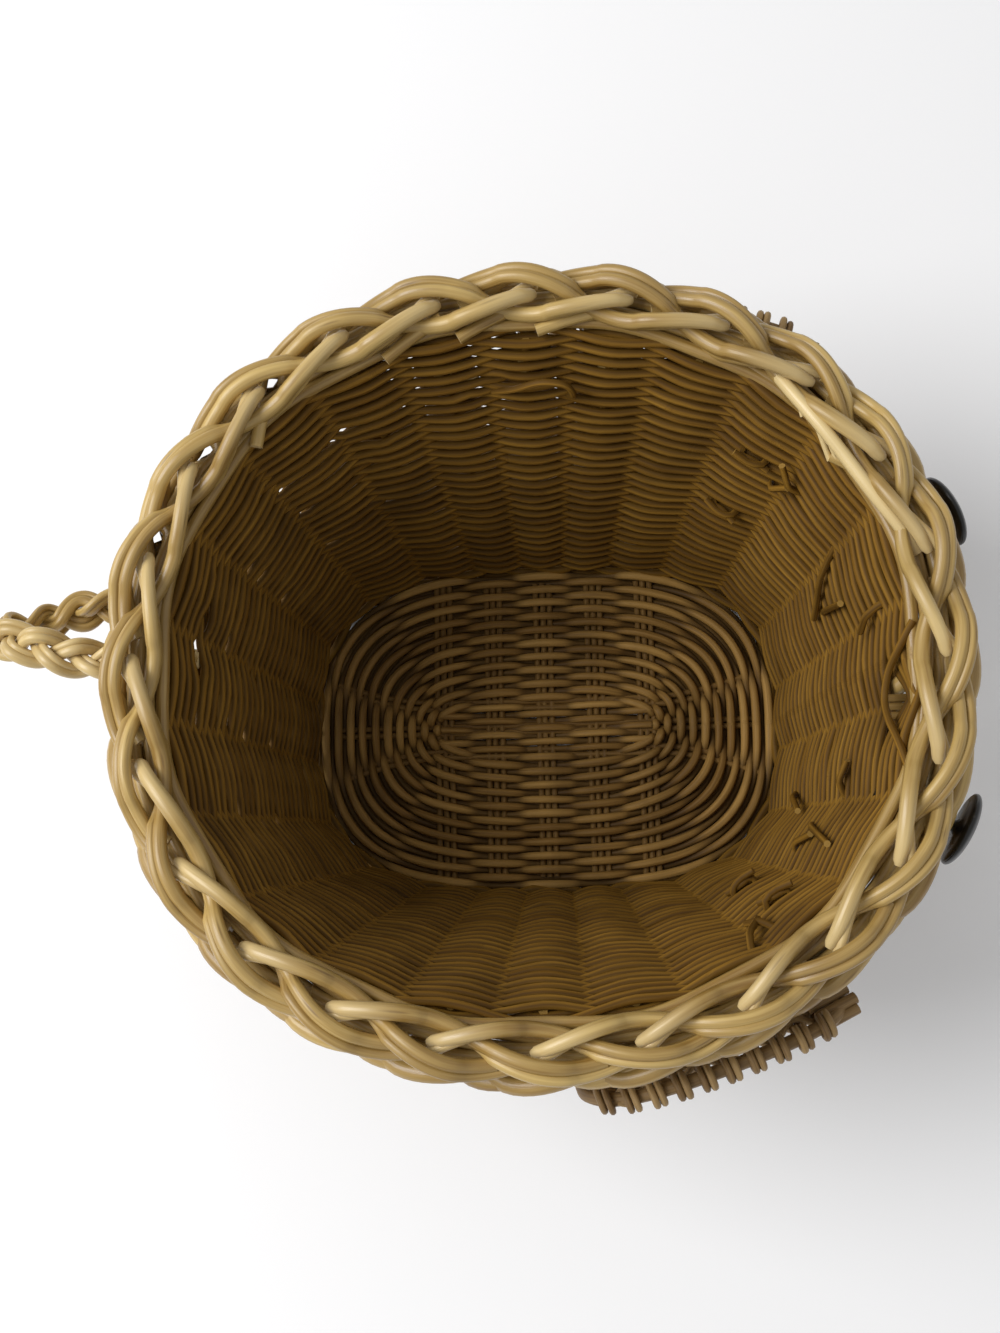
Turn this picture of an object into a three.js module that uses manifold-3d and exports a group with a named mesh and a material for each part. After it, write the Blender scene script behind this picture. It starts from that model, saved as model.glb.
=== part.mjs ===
import * as THREE from 'three';
import { mergeVertices } from 'three/addons/utils/BufferGeometryUtils.js';
import Module from 'manifold-3d';

const wasm = await Module();
wasm.setup();

// Sizes in millimetres, animal facing +X, its left side at +Y, standing on z = 0.

// Whole basket
const BASKET_HEIGHT = 150;
const FIT_GAP = 0.3;
const RIM_HALF_LENGTH = 110;
const RIM_HALF_WIDTH = 104.5;

// Oval floor and flaring side
const FLOOR_HALF_LENGTH = 76;
const FLOOR_HALF_WIDTH = 53.6;
const FLOOR_SQUARENESS = 3;
const RIM_SQUARENESS = 2.1;
const FLOOR_THICKNESS = 8;
const WALL_THICKNESS = 7;
const WALL_CURVE = 0.2;
const WALL_LEVELS = 3;
const WALL_BETWEEN_STAKES = 3;

// Upright stakes
const STAKE_COUNT = 24;
const STAKE_RADIUS = 1.3;
const STAKE_FOOT_DEPTH = 5;
const STAKE_SIDES = 6;
const STAKE_STEPS = 3;
const STAKE_CHANNEL_GAP = 0.4;
const STAKE_RUN_OUT = 6;
const WALL_STEPS_PER_STAKE = 4;

// Foot wale
const FOOT_EDGE = 1.2;
const FOOT_EDGE_HEIGHT = 1.8;
const FOOT_STEPS = 48;

// Sticks of the oval floor
const BASE_STICK_RADIUS = 1.2;
const CROSS_BUNDLES = 5;
const CROSS_SPACING = 17.5;
const STICKS_PER_CROSS = 3;
const LONG_BUNDLES = 3;
const LONG_SPACING = 8.4;
const STICKS_PER_LONG = 2;
const LONG_SPLAY = 9;
const LONG_SPLAY_POWER = 1.6;
const CORE_HALF_LENGTH = 38;
const LONG_STEPS = 7;
const STICK_LAYER_GAP = 0.3;
const STICK_SHORT = 0.6;
const CHANNEL_RUN_OUT = 4;

// Plaited border
const BORDER_ROD_RADIUS = 2.3;
const BORDER_STRANDS = 3;
const BORDER_PERIODS = STAKE_COUNT / BORDER_STRANDS;
const BORDER_STEPS_PER_PERIOD = 11;
const PLAIT_CLEARANCE = 0.5;
const BORDER_PLAIT_RATIO = 1.5;

// Wale under the border
const WALE_HEIGHT = 12;
const WALE_OVERHANG = 3.2;
const WALE_SCALLOP = 1.3;
const WALE_FOOT_TAPER = 4.2;
const WALE_FOOT_EDGE = 0.9;
const WALE_FOOT_SHARE = 0.25;
const WALE_CREST_SHARE = 0.6;
const WALE_TOP_TAPER = 5.4;
const WALE_STEPS = 72;

// Ears
const EAR_FLARE_DEG = 20;
const EAR_HEIGHT = 66;
const EAR_LENGTH = 72;
const LEFT_EAR_REAR_HEADING_DEG = 165;
const RIGHT_EAR_REAR_HEADING_DEG = 158.5;
const EAR_TIP_DEG = 49.4;
const EAR_TIP_STAND_OFF = 12;
const EAR_TIP_DROP = 32;
const EAR_CROWN = 2;
const EAR_WIDEST_HEIGHT = 45;
const EAR_CORNER = 5.8;
const EAR_BACK_TOP_DEG = 75;
const EAR_BACK_SWEEP_DEG = 160;
const EAR_TOP_FULLNESS = 0.5;
const EAR_LOW_FULLNESS = 1.3;
const EAR_ROD_RADIUS = 2;
const EAR_PANEL_THICKNESS = 3.6;
const EAR_WRAPS = 9;
const EAR_WRAP_FIRST_SHARE = 0.33;
const EAR_WRAP_LAST_SHARE = 0.91;
const EAR_WRAP_WIDTH = 4.4;
const EAR_WRAP_WALL = 1.8;
const EAR_WRAP_ROOM = 0.8;
const EAR_PANEL_GAP = 0.7;
const EAR_EDGE_POINTS = 5;
const EAR_BACK_POINTS = 11;
const EAR_HOOP_STEPS = 36;
const EAR_PANEL_STEPS = 28;
const EAR_STAKE_DEG = 45;
const TIE_RADIUS = 1;
const TIE_UPPER_HEIGHT = 45;
const TIE_LOWER_HEIGHT = 9;
const TIE_STUB = 5;
const TIE_HOLE_GAP = 0.4;
const TIE_SWING_GAP = 2.6;
const TIE_BEND_GAP = 0.4;
const TIE_HOLE_RUN_OUT = 6;
const TIE_LEG_POINTS = 5;
const TIE_BEND_POINTS = 6;
const TIE_STEPS = 18;
const TIE_SIDES = 5;

// Eyes
const EYE_RADIUS = 10.2;
const EYE_DOME_HEIGHT = 4.6;
const EYE_STEM_RADIUS = 1.6;
const EYE_BARB_RADIUS = 2.3;
const EYE_BARB_LENGTH = 2.4;
const EYE_BARB_FLAT_SHARE = 0.4;
const EYE_BACK_SHARE = 0.86;
const EYE_WALL_DEG = 20;
const EYE_FACING_DEG = 27;
const FACE_TURN_DEG = -1.3;
const EYE_DROP = 29;
const EYE_EDGE = 0.9;
const EYE_STAND_OFF = 18.5;
const EYE_BARB_DEPTH = 4.4;
const EYE_SIDES = 14;

// Trunk
const TRUNK_DEG = -7.5;
const TRUNK_ROOT_DROP = 32.5;
const TRUNK_ROD_RADIUS = 2.2;
const TRUNK_PITCH = 44;
const TRUNK_STUB = 2;
const TRUNK_BEND_RADIUS = 13;
const TRUNK_HANG = 56;
const TRUNK_CURL_RADIUS = 19;
const TRUNK_LIFT_DEG = 20;
const TRUNK_ROOT_RUN = 3;
const TRUNK_HOLE_GAP = 0.6;
const TRUNK_TUFT = 7;
const TRUNK_BINDING_WIDTH = 5;
const TRUNK_BINDING_WALL = 1.4;
const TRUNK_BEND_ROOM = 1.2;

// Tail
const TAIL_DEG = 173;
const TAIL_ROOT_DROP = 33;
const TAIL_ROD_RADIUS = 1.6;
const TAIL_PITCH = 38;
const TAIL_ROOT_SPACING = 12.6;
const TAIL_LENGTH = 52;
const TAIL_WIDTH = 17;
const TAIL_STUB = 1;
const TAIL_TILT = 7.5;
const TAIL_ROOT_RUN = 2;
const TAIL_HOLE_GAP = 0.55;

// Trunk and tail plaits
const PLAIT_ROD_GAP = 0.6;
const PLAIT_SWING_SHARE = 1.03;
const PLAIT_RISE_SHARE = 0.69;
const PLAIT_OPENING_SHARE = 0.2;
const TRUNK_SPREAD = 1.12;
const TAIL_SPREAD = 1.14;
const TRUNK_STEPS = 34;
const BEND_POINTS = 4;
const TAIL_STEPS = 44;
const PLAIT_HOLE_RUN_OUT = 12;

// Round rods are drawn with this many sides
const ROD_SIDES = 6;
const HOLE_SIDES = 12;

const group = new THREE.Group();
group.name = 'elephant_basket';

const goldenReed = new THREE.MeshStandardMaterial({ name: 'golden_reed', color: 0xc9a063, roughness: 0.7 });
const brownReed = new THREE.MeshStandardMaterial({ name: 'brown_reed', color: 0xa9814c, roughness: 0.8 });
const paleReed = new THREE.MeshStandardMaterial({ name: 'pale_reed', color: 0xd8b477, roughness: 0.65 });
const blackGloss = new THREE.MeshStandardMaterial({ name: 'black_gloss', color: 0x141414, roughness: 0.15 });

const radians = (degrees) => THREE.MathUtils.degToRad(degrees);
const vec = (x, y, z) => new THREE.Vector3(x, y, z);
const up = vec(0, 0, 1);

// Geometry helpers: each solid ends as one closed skin that faces outward.
function closedSkin(geometry) {
  const bare = geometry.clone();
  bare.deleteAttribute('normal');
  bare.deleteAttribute('uv');
  const merged = mergeVertices(bare, 1e-4);
  const place = merged.attributes.position;
  const index = Array.from(merged.index.array);
  const corners = [vec(0, 0, 0), vec(0, 0, 0), vec(0, 0, 0)];
  const kept = [];
  let volume = 0;
  for (let i = 0; i < index.length; i += 3) {
    if (index[i] === index[i + 1] || index[i + 1] === index[i + 2] || index[i] === index[i + 2]) continue;
    kept.push(index[i], index[i + 1], index[i + 2]);
    corners.forEach((corner, k) => corner.fromBufferAttribute(place, index[i + k]));
    volume += corners[0].dot(corners[1].clone().cross(corners[2]));
  }
  if (volume < 0) {
    for (let i = 0; i < kept.length; i += 3) [kept[i], kept[i + 1]] = [kept[i + 1], kept[i]];
  }
  merged.setIndex(kept);
  return merged;
}

function solid(geometry) {
  const skin = closedSkin(geometry);
  return new wasm.Manifold(new wasm.Mesh({
    numProp: 3,
    vertProperties: new Float32Array(skin.attributes.position.array),
    triVerts: new Uint32Array(skin.index.array),
  }));
}

function fromSolid(manifold) {
  const mesh = manifold.getMesh();
  const geometry = new THREE.BufferGeometry();
  const points = [];
  for (let i = 0; i < mesh.numVert; i += 1) {
    for (let k = 0; k < 3; k += 1) points.push(mesh.vertProperties[i * mesh.numProp + k]);
  }
  geometry.setAttribute('position', new THREE.Float32BufferAttribute(points, 3));
  geometry.setIndex(Array.from(mesh.triVerts));
  return geometry;
}

function addPart(name, geometry, material) {
  const skin = closedSkin(geometry);
  skin.computeVertexNormals();
  const mesh = new THREE.Mesh(skin, material);
  mesh.name = name;
  group.add(mesh);
}

function roundSection(radius, sides) {
  const shape = new THREE.Shape();
  for (let i = 0; i < sides; i += 1) {
    const turn = ((i + 0.5) / sides) * Math.PI * 2;
    const place = [radius * Math.cos(turn), radius * Math.sin(turn)];
    if (i === 0) shape.moveTo(...place);
    else shape.lineTo(...place);
  }
  return shape;
}

// A rod with closed ends along a curve
function rod(curve, radius, steps, sides = ROD_SIDES) {
  const way = { extrudePath: curve, steps, bevelEnabled: false };
  return new THREE.ExtrudeGeometry(roundSection(radius, sides), way);
}

function straightRod(from, to, radius, sides = ROD_SIDES) {
  return rod(new THREE.LineCurve3(from, to), radius, 1, sides);
}

function smoothCurve(points, closed = false) {
  return new THREE.CatmullRomCurve3(points, closed, 'centripetal');
}

// A closed ring whose section may change on the way round
function ringSolid(steps, sectionAt) {
  const points = [];
  const index = [];
  let count = 0;
  for (let i = 0; i < steps; i += 1) {
    const section = sectionAt((i / steps) * Math.PI * 2);
    count = section.length;
    section.forEach((p) => points.push(p.x, p.y, p.z));
  }
  for (let i = 0; i < steps; i += 1) {
    const here = i * count;
    const there = ((i + 1) % steps) * count;
    for (let j = 0; j < count; j += 1) {
      const next = (j + 1) % count;
      index.push(here + j, there + j, there + next, here + j, there + next, here + next);
    }
  }
  const geometry = new THREE.BufferGeometry();
  geometry.setAttribute('position', new THREE.Float32BufferAttribute(points, 3));
  geometry.setIndex(index);
  return geometry;
}

// Outline of the basket: a rounded oval that grows and softens from floor to rim
const borderTouch = 2 * BORDER_ROD_RADIUS + PLAIT_CLEARANCE;
const plaitReach = Math.sqrt(3 * (BORDER_PLAIT_RATIO ** 2 / 2 - BORDER_PLAIT_RATIO ** 4 / 16));
const borderRise = borderTouch / plaitReach;
const borderSwing = BORDER_PLAIT_RATIO * borderRise;
const borderHalfWidth = borderSwing + BORDER_ROD_RADIUS;
const borderCentreZ = BASKET_HEIGHT - borderRise - BORDER_ROD_RADIUS;
const wallTop = borderCentreZ - borderRise - BORDER_ROD_RADIUS - FIT_GAP;
const wallBottom = FLOOR_THICKNESS + FIT_GAP;
const rimInnerHalfLength = RIM_HALF_LENGTH - 2 * borderHalfWidth;
const rimInnerHalfWidth = RIM_HALF_WIDTH - 2 * borderHalfWidth;

function ovalRadius(angle, halfLength, halfWidth, squareness) {
  const along = (Math.abs(Math.cos(angle)) / halfLength) ** squareness;
  const across = (Math.abs(Math.sin(angle)) / halfWidth) ** squareness;
  return (along + across) ** (-1 / squareness);
}

function wallPoint(angle, z, outward) {
  const t = (z - FLOOR_THICKNESS) / (BASKET_HEIGHT - FLOOR_THICKNESS);
  const flare = Math.max(0, t * (1 - WALL_CURVE + WALL_CURVE * t));
  const halfLength = FLOOR_HALF_LENGTH + flare * (rimInnerHalfLength - FLOOR_HALF_LENGTH) + outward;
  const halfWidth = FLOOR_HALF_WIDTH + flare * (rimInnerHalfWidth - FLOOR_HALF_WIDTH) + outward;
  const squareness = FLOOR_SQUARENESS + flare * (RIM_SQUARENESS - FLOOR_SQUARENESS);
  const radius = ovalRadius(angle, halfLength, halfWidth, squareness);
  return vec(radius * Math.cos(angle), radius * Math.sin(angle), z);
}

function rimPoint(angle, inward, z) {
  const halfLength = RIM_HALF_LENGTH - inward;
  const halfWidth = RIM_HALF_WIDTH - inward;
  const radius = ovalRadius(angle, halfLength, halfWidth, RIM_SQUARENESS);
  return vec(radius * Math.cos(angle), radius * Math.sin(angle), z);
}

// Plaits: three rods weave side to side and over and under along a path.
// At a root they lie as a tight three-cornered bundle.
const rootPhase = Math.PI / 6;

function plaitSize(radius, spread) {
  const touch = 2 * radius + PLAIT_ROD_GAP;
  const wide = spread * touch;
  return { swing: wide * PLAIT_SWING_SHARE, rise: wide * PLAIT_RISE_SHARE, rootSwing: touch / Math.sqrt(3) };
}

function carriedFrames(path, samples, firstSide) {
  const frames = [];
  let side = firstSide.clone();
  for (let i = 0; i <= samples; i += 1) {
    const ahead = path.getTangentAt(i / samples);
    side = side.addScaledVector(ahead, -side.dot(ahead)).normalize();
    frames.push({ place: path.getPointAt(i / samples), side: side.clone(), over: ahead.clone().cross(side) });
  }
  return frames;
}

function plaitStrand(path, firstSide, strand, size, pitch, rootLength, tailRootLength, samples) {
  const length = path.getLength();
  const frames = carriedFrames(path, samples, firstSide);
  const blend = pitch * PLAIT_OPENING_SHARE;
  const plaitLength = length - rootLength - tailRootLength - 2 * blend;
  const turns = Math.round(plaitLength / pitch);
  const points = frames.map((frame, i) => {
    const along = (i / samples) * length;
    const share = THREE.MathUtils.clamp((along - rootLength - blend) / plaitLength, 0, 1);
    const open = THREE.MathUtils.smoothstep(along, rootLength, rootLength + blend);
    const shut = THREE.MathUtils.smoothstep(length - along, tailRootLength, tailRootLength + blend);
    const width = Math.min(open, shut);
    const swing = THREE.MathUtils.lerp(size.rootSwing, size.swing, width);
    const rise = THREE.MathUtils.lerp(size.rootSwing, size.rise, width);
    const phase = rootPhase + share * turns * Math.PI * 2 + (strand * Math.PI * 2) / BORDER_STRANDS;
    return frame.place.clone()
      .addScaledVector(frame.side, swing * Math.sin(phase))
      .addScaledVector(frame.over, rise * Math.sin(2 * phase));
  });
  return smoothCurve(points);
}

// Floor: sticks lie side by side in channels of the woven oval mat
function bundleSection(count) {
  const points = [];
  for (const half of [1, -1]) {
    for (let k = 0; k < count; k += 1) {
      const order = half > 0 ? k : count - 1 - k;
      const centre = (order - (count - 1) / 2) * 2 * BASE_STICK_RADIUS;
      for (let turn = 150; turn >= 30; turn -= 40) {
        const x = half * BASE_STICK_RADIUS * Math.cos(radians(turn)) + centre;
        points.unshift(new THREE.Vector2(x, half * BASE_STICK_RADIUS * Math.sin(radians(turn))));
      }
    }
  }
  return points;
}

function channelSection(count, grow) {
  const halfWide = count * BASE_STICK_RADIUS + grow;
  const halfHigh = BASE_STICK_RADIUS + grow;
  return [[-1, -1], [1, -1], [1, 1], [-1, 1]].map(([x, y]) => new THREE.Vector2(x * halfWide, y * halfHigh));
}

// A bundle or its channel swept level along a curve, with closed ends
function levelBar(curve, section, steps) {
  const points = [];
  const index = [];
  for (let i = 0; i <= steps; i += 1) {
    const place = curve.getPointAt(i / steps);
    const side = up.clone().cross(curve.getTangentAt(i / steps)).normalize();
    section.forEach((corner) => {
      points.push(place.x + side.x * corner.x, place.y + side.y * corner.x, place.z + corner.y);
    });
  }
  const size = section.length;
  for (let i = 0; i < steps; i += 1) {
    for (let j = 0; j < size; j += 1) {
      const [a, b] = [i * size + j, i * size + ((j + 1) % size)];
      index.push(a, b, b + size, a, b + size, a + size);
    }
  }
  THREE.ShapeUtils.triangulateShape(section, []).forEach(([a, b, c]) => {
    index.push(a, c, b);
    index.push(a + steps * size, b + steps * size, c + steps * size);
  });
  const geometry = new THREE.BufferGeometry();
  geometry.setAttribute('position', new THREE.Float32BufferAttribute(points, 3));
  geometry.setIndex(index);
  return geometry;
}

const baseEdge = { halfLength: FLOOR_HALF_LENGTH - FIT_GAP, halfWidth: FLOOR_HALF_WIDTH - FIT_GAP };
const layerRise = BASE_STICK_RADIUS + (FIT_GAP + STICK_LAYER_GAP) / 2;
const crossZ = FLOOR_THICKNESS / 2 - layerRise;
const longZ = FLOOR_THICKNESS / 2 + layerRise;

function crossCurve(k, extra) {
  const x = (k - (CROSS_BUNDLES - 1) / 2) * CROSS_SPACING;
  const share = (Math.abs(x) / baseEdge.halfLength) ** FLOOR_SQUARENESS;
  const reach = baseEdge.halfWidth * (1 - share) ** (1 / FLOOR_SQUARENESS) + extra;
  return new THREE.LineCurve3(vec(x, -reach, crossZ), vec(x, reach, crossZ));
}

function longCurve(k, extra) {
  const row = k - (LONG_BUNDLES - 1) / 2;
  const aside = Math.abs(row) * (LONG_SPACING + LONG_SPLAY) + STICKS_PER_LONG * BASE_STICK_RADIUS;
  const share = (aside / baseEdge.halfWidth) ** FLOOR_SQUARENESS;
  const reach = baseEdge.halfLength * (1 - share) ** (1 / FLOOR_SQUARENESS) + extra;
  const past = (x) => Math.max(0, (Math.abs(x) - CORE_HALF_LENGTH) / CORE_HALF_LENGTH);
  const bend = (x) => row * (LONG_SPACING + LONG_SPLAY * past(x) ** LONG_SPLAY_POWER);
  const points = [-1, -0.8, -0.55, -0.25, 0.25, 0.55, 0.8, 1]
    .map((part) => vec(part * reach, bend(part * reach), longZ));
  return smoothCurve(points);
}

const baseShape = new THREE.Shape();
for (let i = 0; i < FOOT_STEPS; i += 1) {
  const angle = (i / FOOT_STEPS) * Math.PI * 2;
  const radius = ovalRadius(angle, baseEdge.halfLength, baseEdge.halfWidth, FLOOR_SQUARENESS);
  const place = [radius * Math.cos(angle), radius * Math.sin(angle)];
  if (i === 0) baseShape.moveTo(...place);
  else baseShape.lineTo(...place);
}
let baseWeave = solid(new THREE.ExtrudeGeometry(baseShape, { depth: FLOOR_THICKNESS, bevelEnabled: false }));
for (let k = 0; k < CROSS_BUNDLES; k += 1) {
  const channel = levelBar(crossCurve(k, CHANNEL_RUN_OUT), channelSection(STICKS_PER_CROSS, FIT_GAP), 1);
  baseWeave = baseWeave.subtract(solid(channel));
  const sticks = levelBar(crossCurve(k, -STICK_SHORT), bundleSection(STICKS_PER_CROSS), 1);
  addPart(`base_cross_sticks_${k + 1}`, sticks, paleReed);
}
for (let k = 0; k < LONG_BUNDLES; k += 1) {
  const longHollow = channelSection(STICKS_PER_LONG, FIT_GAP);
  const channel = levelBar(longCurve(k, CHANNEL_RUN_OUT), longHollow, LONG_STEPS);
  baseWeave = baseWeave.subtract(solid(channel));
  const sticks = levelBar(longCurve(k, -STICK_SHORT), bundleSection(STICKS_PER_LONG), LONG_STEPS);
  addPart(`base_long_sticks_${k + 1}`, sticks, paleReed);
}
addPart('base_weave', fromSolid(baseWeave), brownReed);

// Stakes stand in the middle of the side weave, their feet in the foot wale
const stakeAngle = (k) => (k / STAKE_COUNT) * Math.PI * 2;
const stakeFoot = FLOOR_THICKNESS - STAKE_FOOT_DEPTH;

function stakeCurve(k, low, high) {
  const points = [];
  for (let i = 0; i <= STAKE_STEPS * 2; i += 1) {
    const z = low + ((high - low) * i) / (STAKE_STEPS * 2);
    points.push(wallPoint(stakeAngle(k), z, WALL_THICKNESS / 2));
  }
  return smoothCurve(points);
}

// Foot wale: the thick turned-up edge that the basket stands on
let footWale = solid(ringSolid(FOOT_STEPS, (angle) => [
  wallPoint(angle, 0, 0),
  wallPoint(angle, 0, WALL_THICKNESS - FOOT_EDGE),
  wallPoint(angle, FOOT_EDGE_HEIGHT, WALL_THICKNESS),
  wallPoint(angle, FLOOR_THICKNESS, WALL_THICKNESS),
  wallPoint(angle, FLOOR_THICKNESS, 0),
]));

// Side weave: the flaring wall, open at the top. Its weavers bend round each stake, inside and out, and cross
// between stakes, so the wall is thick at the stakes and thin between them.
function wallHalf(angle) {
  const thin = WALL_BETWEEN_STAKES / 2;
  return thin + (WALL_THICKNESS / 2 - thin) * Math.abs(Math.cos((angle * STAKE_COUNT) / 2));
}

let sideWeave = solid(ringSolid(STAKE_COUNT * WALL_STEPS_PER_STAKE, (angle) => {
  const section = [];
  const outside = WALL_THICKNESS / 2 + wallHalf(angle);
  const inside = WALL_THICKNESS / 2 - wallHalf(angle);
  const levelZ = (i) => wallBottom + ((wallTop - wallBottom) * i) / WALL_LEVELS;
  for (let i = 0; i <= WALL_LEVELS; i += 1) section.push(wallPoint(angle, levelZ(i), outside));
  for (let i = WALL_LEVELS; i >= 0; i -= 1) section.push(wallPoint(angle, levelZ(i), inside));
  return section;
}));

const channelRadius = STAKE_RADIUS + STAKE_CHANNEL_GAP;
for (let k = 0; k < STAKE_COUNT; k += 1) {
  const number = String(k + 1).padStart(2, '0');
  const stake = stakeCurve(k, stakeFoot, wallTop - FIT_GAP);
  addPart(`side_stake_${number}`, rod(stake, STAKE_RADIUS, STAKE_STEPS, STAKE_SIDES), paleReed);
  const channelCurve = stakeCurve(k, stakeFoot - FIT_GAP, wallTop + STAKE_RUN_OUT);
  const channelSolid = solid(rod(channelCurve, channelRadius, STAKE_STEPS, STAKE_SIDES));
  footWale = footWale.subtract(channelSolid);
  sideWeave = sideWeave.subtract(channelSolid);
}
addPart('foot_wale', fromSolid(footWale), brownReed);

// Top wale: scalloped band outside the wall, under the border
const waleTop = wallTop;
const waleBottom = waleTop - WALE_HEIGHT;
addPart('top_wale', ringSolid(WALE_STEPS, (angle) => {
  const lobe = WALE_SCALLOP * (Math.cos(angle * STAKE_COUNT) - 1);
  const inner = (z) => wallPoint(angle, z, WALL_THICKNESS + FIT_GAP);
  const outer = (taper, share) => (
    rimPoint(angle, taper - lobe - WALE_OVERHANG, waleBottom + share * WALE_HEIGHT));
  return [inner(waleBottom), outer(WALE_FOOT_TAPER, 0), outer(WALE_FOOT_EDGE, WALE_FOOT_SHARE),
    outer(0, WALE_CREST_SHARE), outer(WALE_TOP_TAPER, 1), inner(waleTop)];
}), goldenReed);

// Border: three rods plaited round the rim, each a closed loop
for (let strand = 0; strand < BORDER_STRANDS; strand += 1) {
  const points = [];
  const samples = BORDER_PERIODS * BORDER_STEPS_PER_PERIOD * 2;
  for (let i = 0; i < samples; i += 1) {
    const angle = -(i / samples) * Math.PI * 2;
    const phase = (i / samples) * BORDER_PERIODS * Math.PI * 2 + (strand * Math.PI * 2) / BORDER_STRANDS;
    const inward = borderHalfWidth - borderSwing * Math.sin(phase);
    points.push(rimPoint(angle, inward, borderCentreZ - borderRise * Math.sin(2 * phase)));
  }
  const loop = smoothCurve(points, true);
  const tube = new THREE.TubeGeometry(loop, samples / 2, BORDER_ROD_RADIUS, ROD_SIDES, true);
  addPart(`border_strand_${strand + 1}`, tube, goldenReed);
}

// Ears: a bent rod hoop with a woven panel, tied by its front edge to the wall
function buildEar(sideName, sideSign, rearHeading) {
  const heading = radians(rearHeading);
  const rear = vec(Math.cos(heading), sideSign * Math.sin(heading), 0);
  const outward = vec(Math.sin(heading), -sideSign * Math.cos(heading), 0);
  const flare = radians(EAR_FLARE_DEG);
  const rise = outward.clone().multiplyScalar(Math.sin(flare)).addScaledVector(up, Math.cos(flare));
  const face = rear.clone().cross(rise).multiplyScalar(-sideSign).normalize();
  const tip = rimPoint(sideSign * radians(EAR_TIP_DEG), -EAR_TIP_STAND_OFF, BASKET_HEIGHT - EAR_TIP_DROP);
  const origin = tip.clone().addScaledVector(rise, -EAR_HEIGHT);
  const spot = (p, q, n = 0) => origin.clone()
    .addScaledVector(rear, p).addScaledVector(rise, q).addScaledVector(face, n);

  // Straight front edge, broad rounded back, narrow lower end
  const outline = [];
  for (let i = 0; i < EAR_EDGE_POINTS; i += 1) outline.push([0, (EAR_HEIGHT * (i + 0.5)) / EAR_EDGE_POINTS]);
  outline.push([EAR_CORNER, EAR_HEIGHT]);
  for (let i = 0; i < EAR_BACK_POINTS; i += 1) {
    const turn = radians(EAR_BACK_TOP_DEG - (EAR_BACK_SWEEP_DEG * i) / (EAR_BACK_POINTS - 1));
    const half = turn > 0 ? EAR_HEIGHT + EAR_CROWN - EAR_WIDEST_HEIGHT : EAR_WIDEST_HEIGHT;
    const full = Math.cos(turn) ** (turn > 0 ? EAR_TOP_FULLNESS : EAR_LOW_FULLNESS);
    outline.push([EAR_LENGTH * full, EAR_WIDEST_HEIGHT + half * Math.sin(turn)]);
  }
  const hoop = smoothCurve(outline.map(([p, q]) => spot(p, q)), true);
  const hoopTube = new THREE.TubeGeometry(hoop, EAR_HOOP_STEPS, EAR_ROD_RADIUS, ROD_SIDES, true);
  addPart(`${sideName}_ear_hoop`, hoopTube, goldenReed);

  // Woven panel inside the hoop with wraps that go round the hoop rod
  const flatLoop = new THREE.CatmullRomCurve3(outline.map(([p, q]) => vec(p, q, 0)), true, 'centripetal');
  const inset = EAR_ROD_RADIUS + EAR_PANEL_GAP;
  const panelShape = new THREE.Shape();
  for (let i = 0; i < EAR_PANEL_STEPS; i += 1) {
    const place = flatLoop.getPointAt(i / EAR_PANEL_STEPS);
    const ahead = flatLoop.getTangentAt(i / EAR_PANEL_STEPS);
    const inner = vec(ahead.y, -ahead.x, 0);
    const moved = place.clone().addScaledVector(inner, inset);
    if (i === 0) panelShape.moveTo(moved.x, moved.y);
    else panelShape.lineTo(moved.x, moved.y);
  }
  const slab = new THREE.ExtrudeGeometry(panelShape, { depth: EAR_PANEL_THICKNESS, bevelEnabled: false });
  slab.translate(0, 0, -EAR_PANEL_THICKNESS / 2);
  const place3 = new THREE.Matrix4().makeBasis(rear, rise, face).setPosition(origin);
  slab.applyMatrix4(place3);
  let panel = solid(slab);
  for (let k = 0; k < EAR_WRAPS; k += 1) {
    const share = THREE.MathUtils.lerp(EAR_WRAP_FIRST_SHARE, EAR_WRAP_LAST_SHARE, k / (EAR_WRAPS - 1));
    const middle = hoop.getPointAt(share);
    const ahead = hoop.getTangentAt(share).multiplyScalar(EAR_WRAP_WIDTH / 2);
    const ring = roundSection(EAR_ROD_RADIUS + EAR_WRAP_ROOM + EAR_WRAP_WALL, ROD_SIDES);
    ring.holes.push(roundSection(EAR_ROD_RADIUS + EAR_WRAP_ROOM, ROD_SIDES));
    const line = new THREE.LineCurve3(middle.clone().sub(ahead), middle.clone().add(ahead));
    const sleeve = new THREE.ExtrudeGeometry(ring, { extrudePath: line, steps: 1, bevelEnabled: false });
    panel = panel.add(solid(sleeve));
  }
  // Gaps in the weave let the ties go round the front edge and the ear swing
  const bendRadius = EAR_ROD_RADIUS + TIE_BEND_GAP + TIE_RADIUS;
  const gapReach = Math.hypot(bendRadius + TIE_RADIUS, EAR_PANEL_THICKNESS / 2) + TIE_SWING_GAP;
  const gapHalf = TIE_RADIUS + 2 * TIE_HOLE_GAP;
  [TIE_UPPER_HEIGHT, TIE_LOWER_HEIGHT].forEach((height) => {
    panel = panel.subtract(solid(straightRod(spot(0, height - gapHalf), spot(0, height + gapHalf),
      gapReach, HOLE_SIDES)));
  });
  addPart(`${sideName}_ear_weave`, fromSolid(panel), brownReed);

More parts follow.
